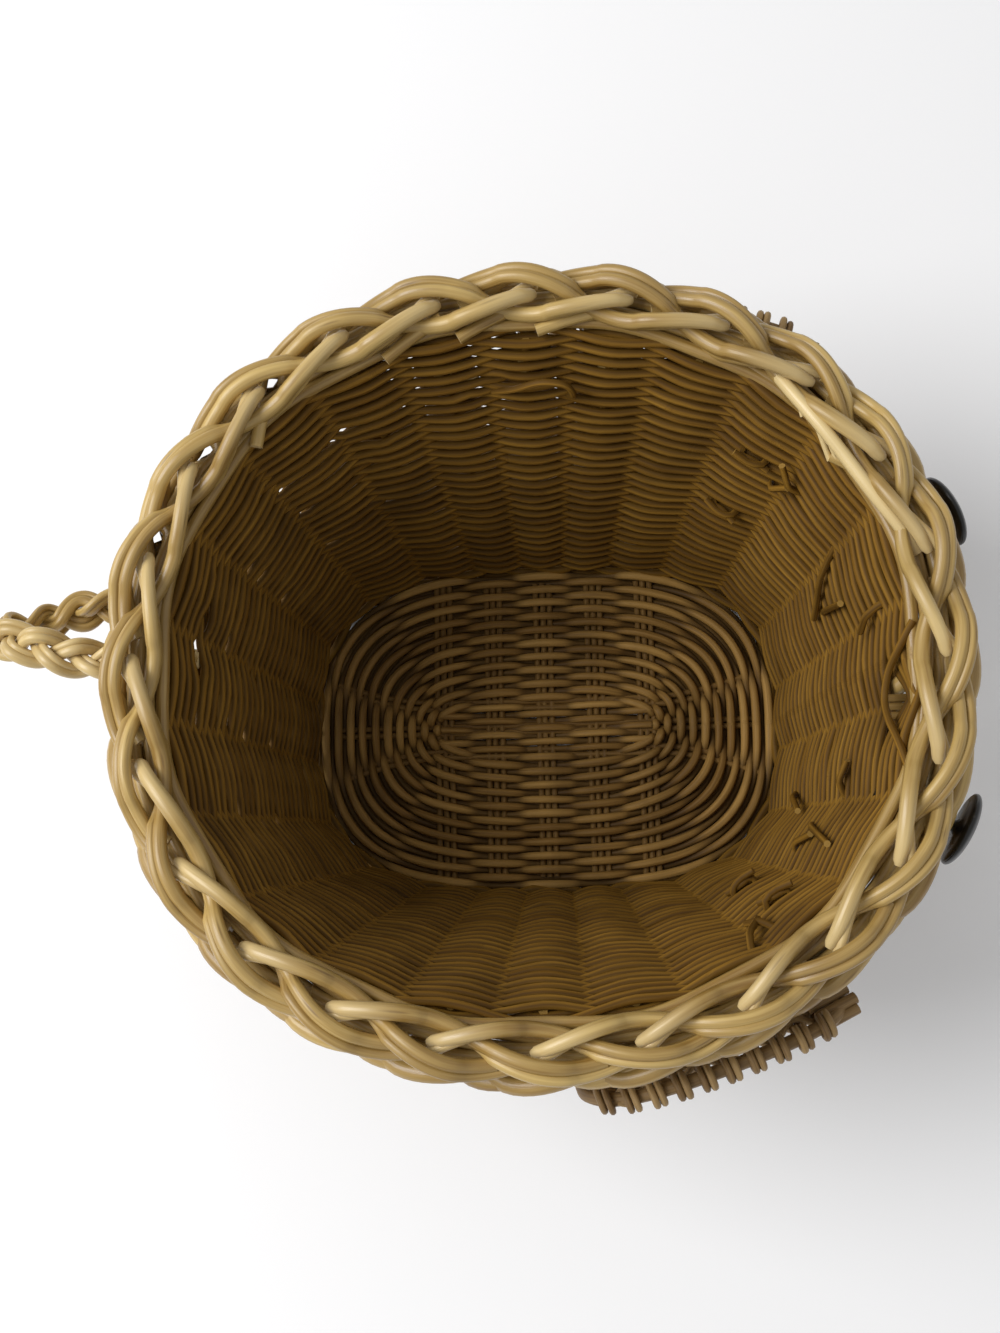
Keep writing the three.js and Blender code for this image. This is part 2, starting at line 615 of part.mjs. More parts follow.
  // Two hairpin ties round the front edge, legs through the wall either side of a stake
  const stakeTurn = sideSign * radians(EAR_STAKE_DEG);
  [['upper', TIE_UPPER_HEIGHT], ['lower', TIE_LOWER_HEIGHT]].forEach(([level, height]) => {
    const pivot = spot(0, height);
    let target = wallPoint(stakeTurn, pivot.z, WALL_THICKNESS / 2);
    const inTo = vec(0, 0, 0);
    for (let pass = 0; pass < 3; pass += 1) {
      inTo.copy(target).sub(pivot);
      inTo.addScaledVector(rise, -inTo.dot(rise)).normalize();
      const run = Math.hypot(target.x - pivot.x, target.y - pivot.y) / Math.hypot(inTo.x, inTo.y);
      target = wallPoint(stakeTurn, pivot.z + inTo.z * run, WALL_THICKNESS / 2);
    }
    const reach = target.distanceTo(pivot) + WALL_THICKNESS / 2 + TIE_STUB;
    const across = rise.clone().cross(inTo).normalize();
    const at = (inDistance, sideDistance) => pivot.clone()
      .addScaledVector(inTo, inDistance).addScaledVector(across, sideDistance);
    const points = [];
    for (let i = TIE_LEG_POINTS; i >= 1; i -= 1) points.push(at((reach * i) / TIE_LEG_POINTS, bendRadius));
    for (let i = 0; i <= TIE_BEND_POINTS; i += 1) {
      const turn = (i / TIE_BEND_POINTS) * Math.PI;
      points.push(at(-bendRadius * Math.sin(turn), bendRadius * Math.cos(turn)));
    }
    for (let i = 1; i <= TIE_LEG_POINTS; i += 1) points.push(at((reach * i) / TIE_LEG_POINTS, -bendRadius));
    const tie = rod(smoothCurve(points), TIE_RADIUS, TIE_STEPS, TIE_SIDES);
    addPart(`${sideName}_ear_tie_${level}`, tie, paleReed);
    [bendRadius, -bendRadius].forEach((aside) => {
      const holeStart = reach - WALL_THICKNESS - TIE_STUB - TIE_HOLE_RUN_OUT;
      const holeEnd = reach + TIE_HOLE_RUN_OUT;
      const hole = straightRod(at(holeStart, aside), at(holeEnd, aside), TIE_RADIUS + TIE_HOLE_GAP);
      sideWeave = sideWeave.subtract(solid(hole));
    });
  });
}
buildEar('left', 1, LEFT_EAR_REAR_HEADING_DEG);
buildEar('right', -1, RIGHT_EAR_REAR_HEADING_DEG);

// Eyes: domed buttons on a barbed stem pushed into the wall
function eyeProfile(grow) {
  const back = EYE_STAND_OFF;
  const barb = EYE_BARB_RADIUS + grow;
  const points = [[0, -grow], [barb, -grow], [barb, EYE_BARB_LENGTH * EYE_BARB_FLAT_SHARE],
    [EYE_STEM_RADIUS + grow, EYE_BARB_LENGTH + grow]];
  if (grow > 0) return points.concat([[EYE_STEM_RADIUS + grow, back], [0, back]]);
  const wholeStem = EYE_BARB_DEPTH + back;
  const edge = wholeStem + EYE_EDGE;
  points.push([EYE_STEM_RADIUS, wholeStem], [EYE_RADIUS * EYE_BACK_SHARE, wholeStem], [EYE_RADIUS, edge]);
  for (let i = 1; i <= 4; i += 1) {
    const turn = (i / 4) * (Math.PI / 2);
    points.push([EYE_RADIUS * Math.cos(turn), edge + (EYE_DOME_HEIGHT - EYE_EDGE) * Math.sin(turn)]);
  }
  points[points.length - 1][0] = 0;
  return points;
}

function turnedShape(profile) {
  const closed = profile.map(([r, z]) => new THREE.Vector2(r, z));
  return new THREE.LatheGeometry(closed.concat([closed[0].clone()]), EYE_SIDES);
}

[['left', 1], ['right', -1]].forEach(([sideName, sideSign]) => {
  const look = radians(sideSign * EYE_FACING_DEG + FACE_TURN_DEG);
  const facing = vec(Math.cos(look), Math.sin(look), 0);
  const seatTurn = radians(sideSign * EYE_WALL_DEG + FACE_TURN_DEG);
  const seat = wallPoint(seatTurn, BASKET_HEIGHT - EYE_DROP, WALL_THICKNESS);
  const start = seat.clone().addScaledVector(facing, -EYE_BARB_DEPTH);
  const stand = new THREE.Matrix4()
    .compose(start, new THREE.Quaternion().setFromUnitVectors(vec(0, 1, 0), facing), vec(1, 1, 1));
  addPart(`${sideName}_eye`, turnedShape(eyeProfile(0)).applyMatrix4(stand), blackGloss);
  sideWeave = sideWeave.subtract(solid(turnedShape(eyeProfile(FIT_GAP)).applyMatrix4(stand)));
});

// Trunk: plait that comes through the wall under the border, hangs and curls at its end
const trunkSize = plaitSize(TRUNK_ROD_RADIUS, TRUNK_SPREAD);
const trunkTurn = radians(TRUNK_DEG);
const trunkRootZ = BASKET_HEIGHT - TRUNK_ROOT_DROP;
const trunkSeat = wallPoint(trunkTurn, trunkRootZ, WALL_THICKNESS);
const trunkInner = wallPoint(trunkTurn, trunkRootZ, 0);
const trunkPoints = [trunkInner.x - TRUNK_STUB, trunkInner.x].map((x) => vec(x, trunkSeat.y, trunkRootZ));
for (let i = 0; i <= BEND_POINTS; i += 1) {
  const turn = (i / BEND_POINTS) * (Math.PI / 2);
  trunkPoints.push(vec(trunkSeat.x + TRUNK_BEND_RADIUS * Math.sin(turn), trunkSeat.y,
    trunkRootZ - TRUNK_BEND_RADIUS * (1 - Math.cos(turn))));
}
const hangX = trunkSeat.x + TRUNK_BEND_RADIUS;
const hangZ = trunkRootZ - TRUNK_BEND_RADIUS - TRUNK_HANG;
trunkPoints.push(vec(hangX, trunkSeat.y, hangZ + TRUNK_HANG / 2));
for (let i = 0; i <= 2 * BEND_POINTS; i += 1) {
  const turn = (i / (2 * BEND_POINTS)) * radians(90 + TRUNK_LIFT_DEG);
  trunkPoints.push(vec(hangX + TRUNK_CURL_RADIUS * (1 - Math.cos(turn)), trunkSeat.y,
    hangZ - TRUNK_CURL_RADIUS * Math.sin(turn)));
}
const trunkPath = smoothCurve(trunkPoints);
const trunkRoot = TRUNK_STUB + WALL_THICKNESS + TRUNK_ROOT_RUN;
const trunkLength = trunkPath.getLength();
for (let strand = 0; strand < BORDER_STRANDS; strand += 1) {
  const curve = plaitStrand(trunkPath, vec(0, 1, 0), strand, trunkSize, TRUNK_PITCH, trunkRoot,
    TRUNK_TUFT + TRUNK_BINDING_WIDTH, 2 * TRUNK_STEPS);
  addPart(`trunk_strand_${strand + 1}`, rod(curve, TRUNK_ROD_RADIUS, TRUNK_STEPS), goldenReed);
}
const trunkHoleRadius = trunkSize.rootSwing + TRUNK_ROD_RADIUS + TRUNK_HOLE_GAP;
const trunkHole = [trunkInner.x - PLAIT_HOLE_RUN_OUT, trunkSeat.x + PLAIT_HOLE_RUN_OUT]
  .map((x) => vec(x, trunkSeat.y, trunkRootZ));
sideWeave = sideWeave.subtract(solid(straightRod(...trunkHole, trunkHoleRadius, HOLE_SIDES)));

// Binding round the trunk end
const bindMiddle = 1 - (TRUNK_TUFT + TRUNK_BINDING_WIDTH / 2) / trunkLength;
const bindAhead = trunkPath.getTangentAt(bindMiddle).multiplyScalar(TRUNK_BINDING_WIDTH / 2);
const bindCentre = trunkPath.getPointAt(bindMiddle);
const bindInner = trunkSize.rootSwing + TRUNK_ROD_RADIUS + FIT_GAP + TRUNK_BEND_ROOM;
const bindEnds = (over) => [bindCentre.clone().addScaledVector(bindAhead, -over),
  bindCentre.clone().addScaledVector(bindAhead, over)];
const bindOuter = solid(straightRod(...bindEnds(1), bindInner + TRUNK_BINDING_WALL, HOLE_SIDES));
const bindHollow = solid(straightRod(...bindEnds(2), bindInner, HOLE_SIDES));
addPart('trunk_binding', fromSolid(bindOuter.subtract(bindHollow)), paleReed);

// Tail: plaited loop with both ends through the wall
const tailSize = plaitSize(TAIL_ROD_RADIUS, TAIL_SPREAD);
const tailRootZ = BASKET_HEIGHT - TAIL_ROOT_DROP;
const tailTurn = radians(TAIL_DEG);
const tailSeat = wallPoint(tailTurn, tailRootZ, WALL_THICKNESS);
const tailInner = wallPoint(tailTurn, tailRootZ, 0);
const tailArm = (armSign) => [
  [tailInner.x + TAIL_STUB, TAIL_ROOT_SPACING, 0], [tailInner.x - TAIL_ROOT_RUN, TAIL_ROOT_SPACING, 0],
  [tailSeat.x - TAIL_ROOT_RUN, TAIL_ROOT_SPACING, 0],
  [tailSeat.x - 0.23 * TAIL_LENGTH, 0.94 * TAIL_WIDTH, 0.5],
  [tailSeat.x - 0.5 * TAIL_LENGTH, 1.06 * TAIL_WIDTH, 1],
  [tailSeat.x - 0.77 * TAIL_LENGTH, 0.59 * TAIL_WIDTH, 1.2],
].map(([x, wide, high]) => vec(x, tailSeat.y + (armSign * wide) / 2, tailRootZ - armSign * high * TAIL_TILT));
const tailTip = vec(tailSeat.x - TAIL_LENGTH, tailSeat.y, tailRootZ);
const tailPath = smoothCurve([...tailArm(-1), tailTip, ...tailArm(1).reverse()]);
const tailRoot = TAIL_STUB + WALL_THICKNESS + TAIL_ROOT_RUN;
for (let strand = 0; strand < BORDER_STRANDS; strand += 1) {
  const curve = plaitStrand(tailPath, vec(0, 1, 0), strand, tailSize, TAIL_PITCH, tailRoot, tailRoot,
    2 * TAIL_STEPS);
  addPart(`tail_strand_${strand + 1}`, rod(curve, TAIL_ROD_RADIUS, TAIL_STEPS), goldenReed);
}
const tailHoleRadius = tailSize.rootSwing + TAIL_ROD_RADIUS + TAIL_HOLE_GAP;
[1, -1].forEach((armSign) => {
  const y = tailSeat.y + (armSign * TAIL_ROOT_SPACING) / 2;
  const hole = [tailInner.x + PLAIT_HOLE_RUN_OUT, tailSeat.x - PLAIT_HOLE_RUN_OUT]
    .map((x) => vec(x, y, tailRootZ));
  sideWeave = sideWeave.subtract(solid(straightRod(...hole, tailHoleRadius, HOLE_SIDES)));
});

addPart('side_weave', fromSolid(sideWeave), brownReed);

export default group;
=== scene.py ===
import bpy
import random
from math import atan2, copysign, cos, pi, radians, sin, sqrt
from mathutils import Matrix, Vector, noise


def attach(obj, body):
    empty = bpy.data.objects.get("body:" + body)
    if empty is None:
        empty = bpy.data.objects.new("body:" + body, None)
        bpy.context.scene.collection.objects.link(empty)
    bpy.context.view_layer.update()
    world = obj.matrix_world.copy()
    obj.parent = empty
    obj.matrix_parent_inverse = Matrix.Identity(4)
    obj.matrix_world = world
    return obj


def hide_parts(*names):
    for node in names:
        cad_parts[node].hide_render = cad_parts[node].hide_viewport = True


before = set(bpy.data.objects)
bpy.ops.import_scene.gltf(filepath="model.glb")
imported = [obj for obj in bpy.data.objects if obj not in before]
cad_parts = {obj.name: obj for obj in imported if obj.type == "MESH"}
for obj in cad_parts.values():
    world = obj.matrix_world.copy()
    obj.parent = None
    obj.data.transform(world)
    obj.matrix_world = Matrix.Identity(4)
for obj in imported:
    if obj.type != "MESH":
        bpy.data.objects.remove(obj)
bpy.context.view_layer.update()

mm = 0.001
fullTurn = 2 * pi
noise.seed_set(9)  # the same unevenness on every run
print("frame loaded,", len(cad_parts), "nodes")

# Form of the basket, in millimetres: face towards +X, standing on z 0
basketForm = {
    "height": 150, "floorThick": 8, "wall": 7, "wallCurve": 0.2, "stakes": 24,
    "floorLong": 76, "floorWide": 53.6, "floorSquare": 3.0,
    "innerLong": 95.5765, "innerWide": 90.0765,
    "rimLong": 110, "rimWide": 104.5, "rimSquare": 2.1,
}
wallThick = basketForm["wall"]
stakeLine = wallThick / 2  # middle of the side, where the stakes stand


def unit(v):
    return min(1.0, max(0.0, v))


def ease(v):
    v = unit(v)
    return v * v * (3 - 2 * v)


def ovalRadius(angle, long, wide, square):
    along = (abs(cos(angle)) / long) ** square
    across = (abs(sin(angle)) / wide) ** square
    return (along + across) ** (-1 / square)


def flareAt(z):
    f = basketForm
    t = (z - f["floorThick"]) / (f["height"] - f["floorThick"])
    return max(0.0, t * (1 - f["wallCurve"] + f["wallCurve"] * t))


def wallPoint(angle, z, out):  # out 0 is the inner face of the side
    f, flare = basketForm, flareAt(z)
    long = f["floorLong"] + flare * (f["innerLong"] - f["floorLong"]) + out
    wide = f["floorWide"] + flare * (f["innerWide"] - f["floorWide"]) + out
    square = f["floorSquare"] + flare * (f["rimSquare"] - f["floorSquare"])
    r = ovalRadius(angle, long, wide, square)
    return Vector((r * cos(angle), r * sin(angle), z)) * mm


def rimPoint(angle, inward, z):  # inward 0 is the outer edge of the plait
    f = basketForm
    r = ovalRadius(angle, f["rimLong"] - inward, f["rimWide"] - inward, f["rimSquare"])
    return Vector((r * cos(angle), r * sin(angle), z)) * mm


# Paths
def smoothPath(points, count, closed=False):
    n, dense, parts = len(points), [], 14
    for i in range(n if closed else n - 1):
        p1, p2 = points[i], points[(i + 1) % n]
        p0 = points[i - 1] if closed or i > 0 else p1 * 2 - p2
        p3 = points[(i + 2) % n] if closed or i + 2 < n else p2 * 2 - p1
        t1 = max((p1 - p0).length, 1e-7) ** 0.5
        t2 = t1 + max((p2 - p1).length, 1e-7) ** 0.5
        t3 = t2 + max((p3 - p2).length, 1e-7) ** 0.5
        for k in range(parts):
            t = t1 + (t2 - t1) * k / parts
            a1 = p0 * ((t1 - t) / t1) + p1 * (t / t1)
            a2 = p1 * ((t2 - t) / (t2 - t1)) + p2 * ((t - t1) / (t2 - t1))
            a3 = p2 * ((t3 - t) / (t3 - t2)) + p3 * ((t - t2) / (t3 - t2))
            b1 = a1 * ((t2 - t) / t2) + a2 * (t / t2)
            b2 = a2 * ((t3 - t) / (t3 - t1)) + a3 * ((t - t1) / (t3 - t1))
            dense.append(b1 * ((t2 - t) / (t2 - t1)) + b2 * ((t - t1) / (t2 - t1)))
    dense.append(points[0].copy() if closed else points[-1].copy())
    return evenPath(dense, count, closed)


def evenPath(dense, count, closed=False):
    reach = [0.0]
    for a, b in zip(dense, dense[1:]):
        reach.append(reach[-1] + (b - a).length)
    even, j = [], 0
    for i in range(count):
        want = reach[-1] * i / (count if closed else count - 1)
        while j < len(reach) - 2 and reach[j + 1] < want:
            j += 1
        span = max(reach[j + 1] - reach[j], 1e-9)
        even.append(dense[j].lerp(dense[j + 1], unit((want - reach[j]) / span)))
    return even


def wobble(points, size, grain, seed):  # hand-made unevenness, size in millimetres
    shift = Vector((seed * 3.7, seed * 1.3, seed * 5.1))
    return [p + noise.noise_vector(p * (1000 / grain) + shift) * size * mm for p in points]


def pathLength(points):
    return sum((b - a).length for a, b in zip(points, points[1:]))


def carriedSides(points, firstSide):
    sides, side = [], firstSide.copy()
    for i, p in enumerate(points):
        ahead = (points[min(i + 1, len(points) - 1)] - points[max(i - 1, 0)]).normalized()
        side = (side - ahead * side.dot(ahead)).normalized()
        sides.append((side.copy(), ahead.cross(side)))
    return sides


# Node trees
class nodeValue:
    def __init__(self, tree, socket):
        self.tree, self.socket = tree, socket


def operator(kind, flipped=False):
    def run(self, other):
        return mathNode(self.tree, kind, *((other, self) if flipped else (self, other)))
    return run


for sign, kind in (("add", "ADD"), ("sub", "SUBTRACT"), ("mul", "MULTIPLY"),
                   ("truediv", "DIVIDE"), ("pow", "POWER")):
    setattr(nodeValue, "__" + sign + "__", operator(kind))
    setattr(nodeValue, "__r" + sign + "__", operator(kind, True))


def join(tree, source, socket):
    if isinstance(source, nodeValue):
        tree.links.new(source.socket, socket)
    elif hasattr(source, "is_output"):
        tree.links.new(source, socket)
    else:
        socket.default_value = source


def mathNode(tree, kind, *parts):
    node = tree.nodes.new("ShaderNodeMath")
    node.operation = kind
    for i, part in enumerate(parts):
        join(tree, part, node.inputs[i])
    return nodeValue(tree, node.outputs[0])


def addNode(tree, kind, links=None, **looks):
    node = tree.nodes.new(kind)
    for key, value in looks.items():
        setattr(node, key, value)
    for key, source in (links or {}).items():  # after the looks, which can change the sockets
        join(tree, source, node.inputs[key])
    return node


def combine(tree, x, y, z):
    return addNode(tree, "ShaderNodeCombineXYZ", {0: x, 1: y, 2: z}).outputs[0]


def noiseAt(tree, spot, scale, detail):
    node = addNode(tree, "ShaderNodeTexNoise", {"Vector": spot, "Scale": scale, "Detail": detail})
    return nodeValue(tree, node.outputs[0])


def addObject(name, data):
    thing = bpy.data.objects.new(name, data)
    bpy.context.scene.collection.objects.link(thing)
    return thing


def newFinish(name):
    material = bpy.data.materials.new(name)
    material.use_nodes = True
    return material, material.node_tree, material.node_tree.nodes["Principled BSDF"]


def makeTree(name, sizes):
    tree = bpy.data.node_groups.new(name, "GeometryNodeTree")
    tree.interface.new_socket("Geometry", in_out="INPUT", socket_type="NodeSocketGeometry")
    tree.interface.new_socket("Geometry", in_out="OUTPUT", socket_type="NodeSocketGeometry")
    for key, value in sizes.items():
        kind = "Int" if isinstance(value, int) else "Float"
        item = tree.interface.new_socket(key, in_out="INPUT", socket_type="NodeSocket" + kind)
        item.default_value = value
    tree.interface.new_socket("Finish", in_out="INPUT", socket_type="NodeSocketMaterial")
    start = tree.nodes.new("NodeGroupInput")
    return tree, {s.name: s for s in start.outputs if s.name}


def endTree(tree, mesh, finish):
    cap = addNode(tree, "GeometryNodeInputMeshFaceNeighbors")
    isCap = mathNode(tree, "GREATER_THAN", cap.outputs["Vertex Count"], 4.5)  # other faces have four corners
    mesh = storeValue(tree, mesh, "cutEnd", isCap, "FACE")
    smooth = addNode(tree, "GeometryNodeSetShadeSmooth",
                     {"Geometry": mesh, "Shade Smooth": mathNode(tree, "LESS_THAN", isCap, 0.5)})
    real = addNode(tree, "GeometryNodeRealizeInstances", {"Geometry": smooth.outputs[0]})
    done = addNode(tree, "GeometryNodeSetMaterial", {"Geometry": real.outputs[0], "Material": finish})
    out = tree.nodes.new("NodeGroupOutput")
    tree.links.new(done.outputs[0], out.inputs[0])


def storeValue(tree, geometry, name, value, domain="POINT"):
    links = {"Geometry": geometry, "Name": name, "Value": value}
    node = addNode(tree, "GeometryNodeStoreNamedAttribute", links, data_type="FLOAT", domain=domain)
    return node.outputs[0]


def reedProfile(tree, sides, flat=(1.0, 1.0)):  # flat gives the section's thickness and height
    ring = addNode(tree, "GeometryNodeCurvePrimitiveCircle", {"Resolution": sides, "Radius": 1.0})
    at = addNode(tree, "GeometryNodeInputPosition").outputs[0]
    place = addNode(tree, "ShaderNodeSeparateXYZ", {"Vector": at})
    shape = storeValue(tree, ring.outputs[0], "aroundX", place.outputs[0])
    shape = storeValue(tree, shape, "aroundY", place.outputs[1])
    scale = combine(tree, flat[0], flat[1], 1.0)
    return addNode(tree, "GeometryNodeTransform", {"Geometry": shape, "Scale": scale}).outputs[0]


def runTree(name, tree, sizes, finish, base=None):
    carrier = addObject(name + "Carrier", base or bpy.data.meshes.new(name + "Base"))
    modifier = carrier.modifiers.new("build", "NODES")
    modifier.node_group = tree
    sockets = {i.name: i.identifier for i in tree.interface.items_tree if i.in_out == "INPUT"}
    for key, value in sizes.items():
        modifier[sockets[key]] = value
    modifier[sockets["Finish"]] = finish
    graph = bpy.context.evaluated_depsgraph_get()
    mesh = bpy.data.meshes.new_from_object(
        carrier.evaluated_get(graph), preserve_all_data_layers=True, depsgraph=graph)
    carrier.modifiers.remove(modifier)
    bpy.data.objects.remove(carrier)
    mesh.name = name
    piece = addObject(name, mesh)
    print(name, len(mesh.polygons), "faces")
    return piece


# Tree that turns drawn lines into round reeds
def makeReedTree():
    tree, give = makeTree("reedSweep", {"Sides": 8})
    lines = addNode(tree, "GeometryNodeMeshToCurve", {0: give["Geometry"]})
    along = addNode(tree, "GeometryNodeSplineParameter")
    curves = storeValue(tree, lines.outputs[0], "alongReed", along.outputs["Length"])
    thick = addNode(tree, "GeometryNodeInputNamedAttribute", {"Name": "reedRadius"}, data_type="FLOAT")
    tube = addNode(tree, "GeometryNodeCurveToMesh", {
        "Curve": curves, "Profile Curve": reedProfile(tree, give["Sides"]),
        "Scale": thick.outputs[0], "Fill Caps": True})
    endTree(tree, tube.outputs[0], give["Finish"])
    return tree


reedTree = makeReedTree()


def reed(points, radius, tone, **more):  # more: closed, peel (paler towards the cut-end colour, and painted light on the tail) and painted shade
    return {"points": points, "radius": radius, "tone": tone, **more}


def sweepReeds(name, reeds, finish, sides=8):
    verts, edges, radii, tones, peelAndLightShares, dims = [], [], [], [], [], []
    for one in reeds:
        first, points, radius = len(verts), one["points"], one["radius"]
        verts += points
        radii += [r * mm for r in radius] if isinstance(radius, list) else [radius * mm] * len(points)
        tones += [one["tone"]] * len(points)
        peelAndLightShares += one.get("peel") or [0.0] * len(points)
        dims += one.get("dim") or [0.0] * len(points)
        edges += [(first + i, first + i + 1) for i in range(len(points) - 1)]
        if one.get("closed"):
            edges.append((first + len(points) - 1, first))
    base = bpy.data.meshes.new(name + "Lines")
    base.from_pydata(verts, edges, [])
    for key, values in (("reedRadius", radii), ("reedTone", tones), ("peelAndPaintedLight", peelAndLightShares), ("dimmed", dims)):
        base.attributes.new(key, "FLOAT", "POINT").data.foreach_set("value", values)
    return runTree(name, reedTree, {"Sides": sides}, finish, base)


# Tree for rows of weaving that ring the side
def makeRingTree(spots):
    f = basketForm
    tree, give = makeTree("ringWeave", {
        "Rows": 57, "Row Points": 192, "Sides": 8, "First Height": 0.01, "Row Pitch": 0.0023,
        "Outward": 0.0035, "Swing": 0.0023, "Waves": 12.0, "Row Stagger": pi, "Lift": 0.0,
        "Reed Radius": 0.00115, "Section Depth": 1.0, "Section Height": 1.0, "Swell": 0.2,
        "Unevenness": 0.0005, "Wander": 0.0009, "Tight Middle": 1.6, "Looseness": 0.0, "Seed": 3})
    size = {k: nodeValue(tree, s) for k, s in give.items() if k not in ("Geometry", "Finish")}
    ring = addNode(tree, "GeometryNodeCurvePrimitiveCircle", {
        "Resolution": give["Row Points"], "Radius": 1.0})
    rows = addNode(tree, "GeometryNodeDuplicateElements", {
        "Geometry": ring.outputs[0], "Amount": give["Rows"]}, domain="SPLINE")
    where = addNode(tree, "GeometryNodeCurveOfPoint")
    row = nodeValue(tree, where.outputs["Curve Index"])
    angle = nodeValue(tree, where.outputs["Index in Curve"]) / size["Row Points"] * fullTurn
    cosA, sinA = mathNode(tree, "COSINE", angle), mathNode(tree, "SINE", angle)

    def unevenAt(scale, offset):  # smooth noise that closes on itself round the basket
        spot = combine(tree, cosA * scale + offset, sinA * scale, row * 1.7 + size["Seed"])
        return noiseAt(tree, spot, 1.0, 1.0) - 0.5

    wave = angle * size["Waves"] + row * size["Row Stagger"]
    swing = mathNode(tree, "COSINE", wave)
    lift = mathNode(tree, "SINE", wave) * size["Lift"]
    z = size["First Height"] + row * size["Row Pitch"] + lift + unevenAt(5.0, 0.0) * size["Unevenness"] * 2.0
    dim = 0.0
    for spot in spots:  # rows part round what passes through the side
        aside = mathNode(tree, "PINGPONG", mathNode(tree, "ABSOLUTE", angle - spot["angle"]), pi)
        above = z - spot["z"] * mm
        near = (aside / spot["wide"]) ** 2.0 + (above / (spot["high"] * mm)) ** 2.0
        if spot.get("paintedShadeHigh"):  # painted shade: reeds at the bottom of the hollow are darkened
            hollow = (aside / spot["wide"]) ** 2.0 + (above / (spot["paintedShadeHigh"] * mm)) ** 2.0
            dim = mathNode(tree, "EXPONENT", hollow * -1.0) * 0.9
        up, down = spot["up"] * mm, spot["down"] * mm
        step = mathNode(tree, "SIGN", above) * ((up + down) / 2) + (up - down) / 2
        z = z + mathNode(tree, "EXPONENT", near * -1.0) * step
    t = (z - f["floorThick"] * mm) / ((f["height"] - f["floorThick"]) * mm)
    flare = mathNode(tree, "MAXIMUM", t * (t * f["wallCurve"] + (1 - f["wallCurve"])), 0.0)
    out = size["Outward"] + swing * size["Swing"] * (unevenAt(9.0, 4.0) * 0.5 + 1.0)
    out = out + unevenAt(3.0, 9.0) * size["Wander"]
    long = flare * ((f["innerLong"] - f["floorLong"]) * mm) + f["floorLong"] * mm + out
    wide = flare * ((f["innerWide"] - f["floorWide"]) * mm) + f["floorWide"] * mm + out
    square = flare * (f["rimSquare"] - f["floorSquare"]) + f["floorSquare"]
    along = (mathNode(tree, "ABSOLUTE", cosA) / long) ** square
    across = (mathNode(tree, "ABSOLUTE", sinA) / wide) ** square
    r = (along + across) ** (-1.0 / square)
    place = combine(tree, r * cosA, r * sinA, z)
    moved = addNode(tree, "GeometryNodeSetPosition", {"Geometry": rows.outputs[0], "Position": place})
    length = addNode(tree, "GeometryNodeSplineParameter")
    curves = storeValue(tree, moved.outputs[0], "alongReed", length.outputs["Length"])
    # a reed lasts for part of a round, then the next one carries on
    part = mathNode(tree, "FLOOR", angle / fullTurn * 2.0 + row * 0.37) + row * 5.0
    tone = addNode(tree, "FunctionNodeRandomValue", {
        "ID": part.socket, "Seed": give["Seed"]}, data_type="FLOAT")
    curves = storeValue(tree, curves, "reedTone", tone.outputs[1])
    # painted shade at the bottom of the hollow round the trunk
    curves = storeValue(tree, curves, "dimmed", dim)
    # the reeds are packed tightest on one side and slimmer round the rest
    facing = mathNode(tree, "COSINE", angle - size["Tight Middle"])
    tight = mathNode(tree, "MINIMUM", mathNode(tree, "MAXIMUM", (facing - 0.2) * 2.5, 0.0), 1.0)
    slim = (1.0 - tight) * size["Looseness"]
    thick = size["Reed Radius"] * (swing * swing * size["Swell"] + 1.0 - slim + unevenAt(6.0, 17.0) * 0.2)
    level = addNode(tree, "GeometryNodeSetCurveNormal", {"Curve": curves}, mode="Z_UP")
    section = reedProfile(tree, give["Sides"], (give["Section Depth"], give["Section Height"]))
    tube = addNode(tree, "GeometryNodeCurveToMesh", {
        "Curve": level.outputs[0], "Profile Curve": section, "Scale": thick, "Fill Caps": True})
    endTree(tree, tube.outputs[0], give["Finish"])
    return tree


# Reed finish: streaks along each reed, stains, small knots, paler cut ends, painted shade in creases and
# hollows, and painted light on the tail
def srgb(red, green, blue):
    def linear(v):
        v /= 255
        return v / 12.92 if v <= 0.04045 else ((v + 0.055) / 1.055) ** 2.4
    return (linear(red), linear(green), linear(blue), 1.0)


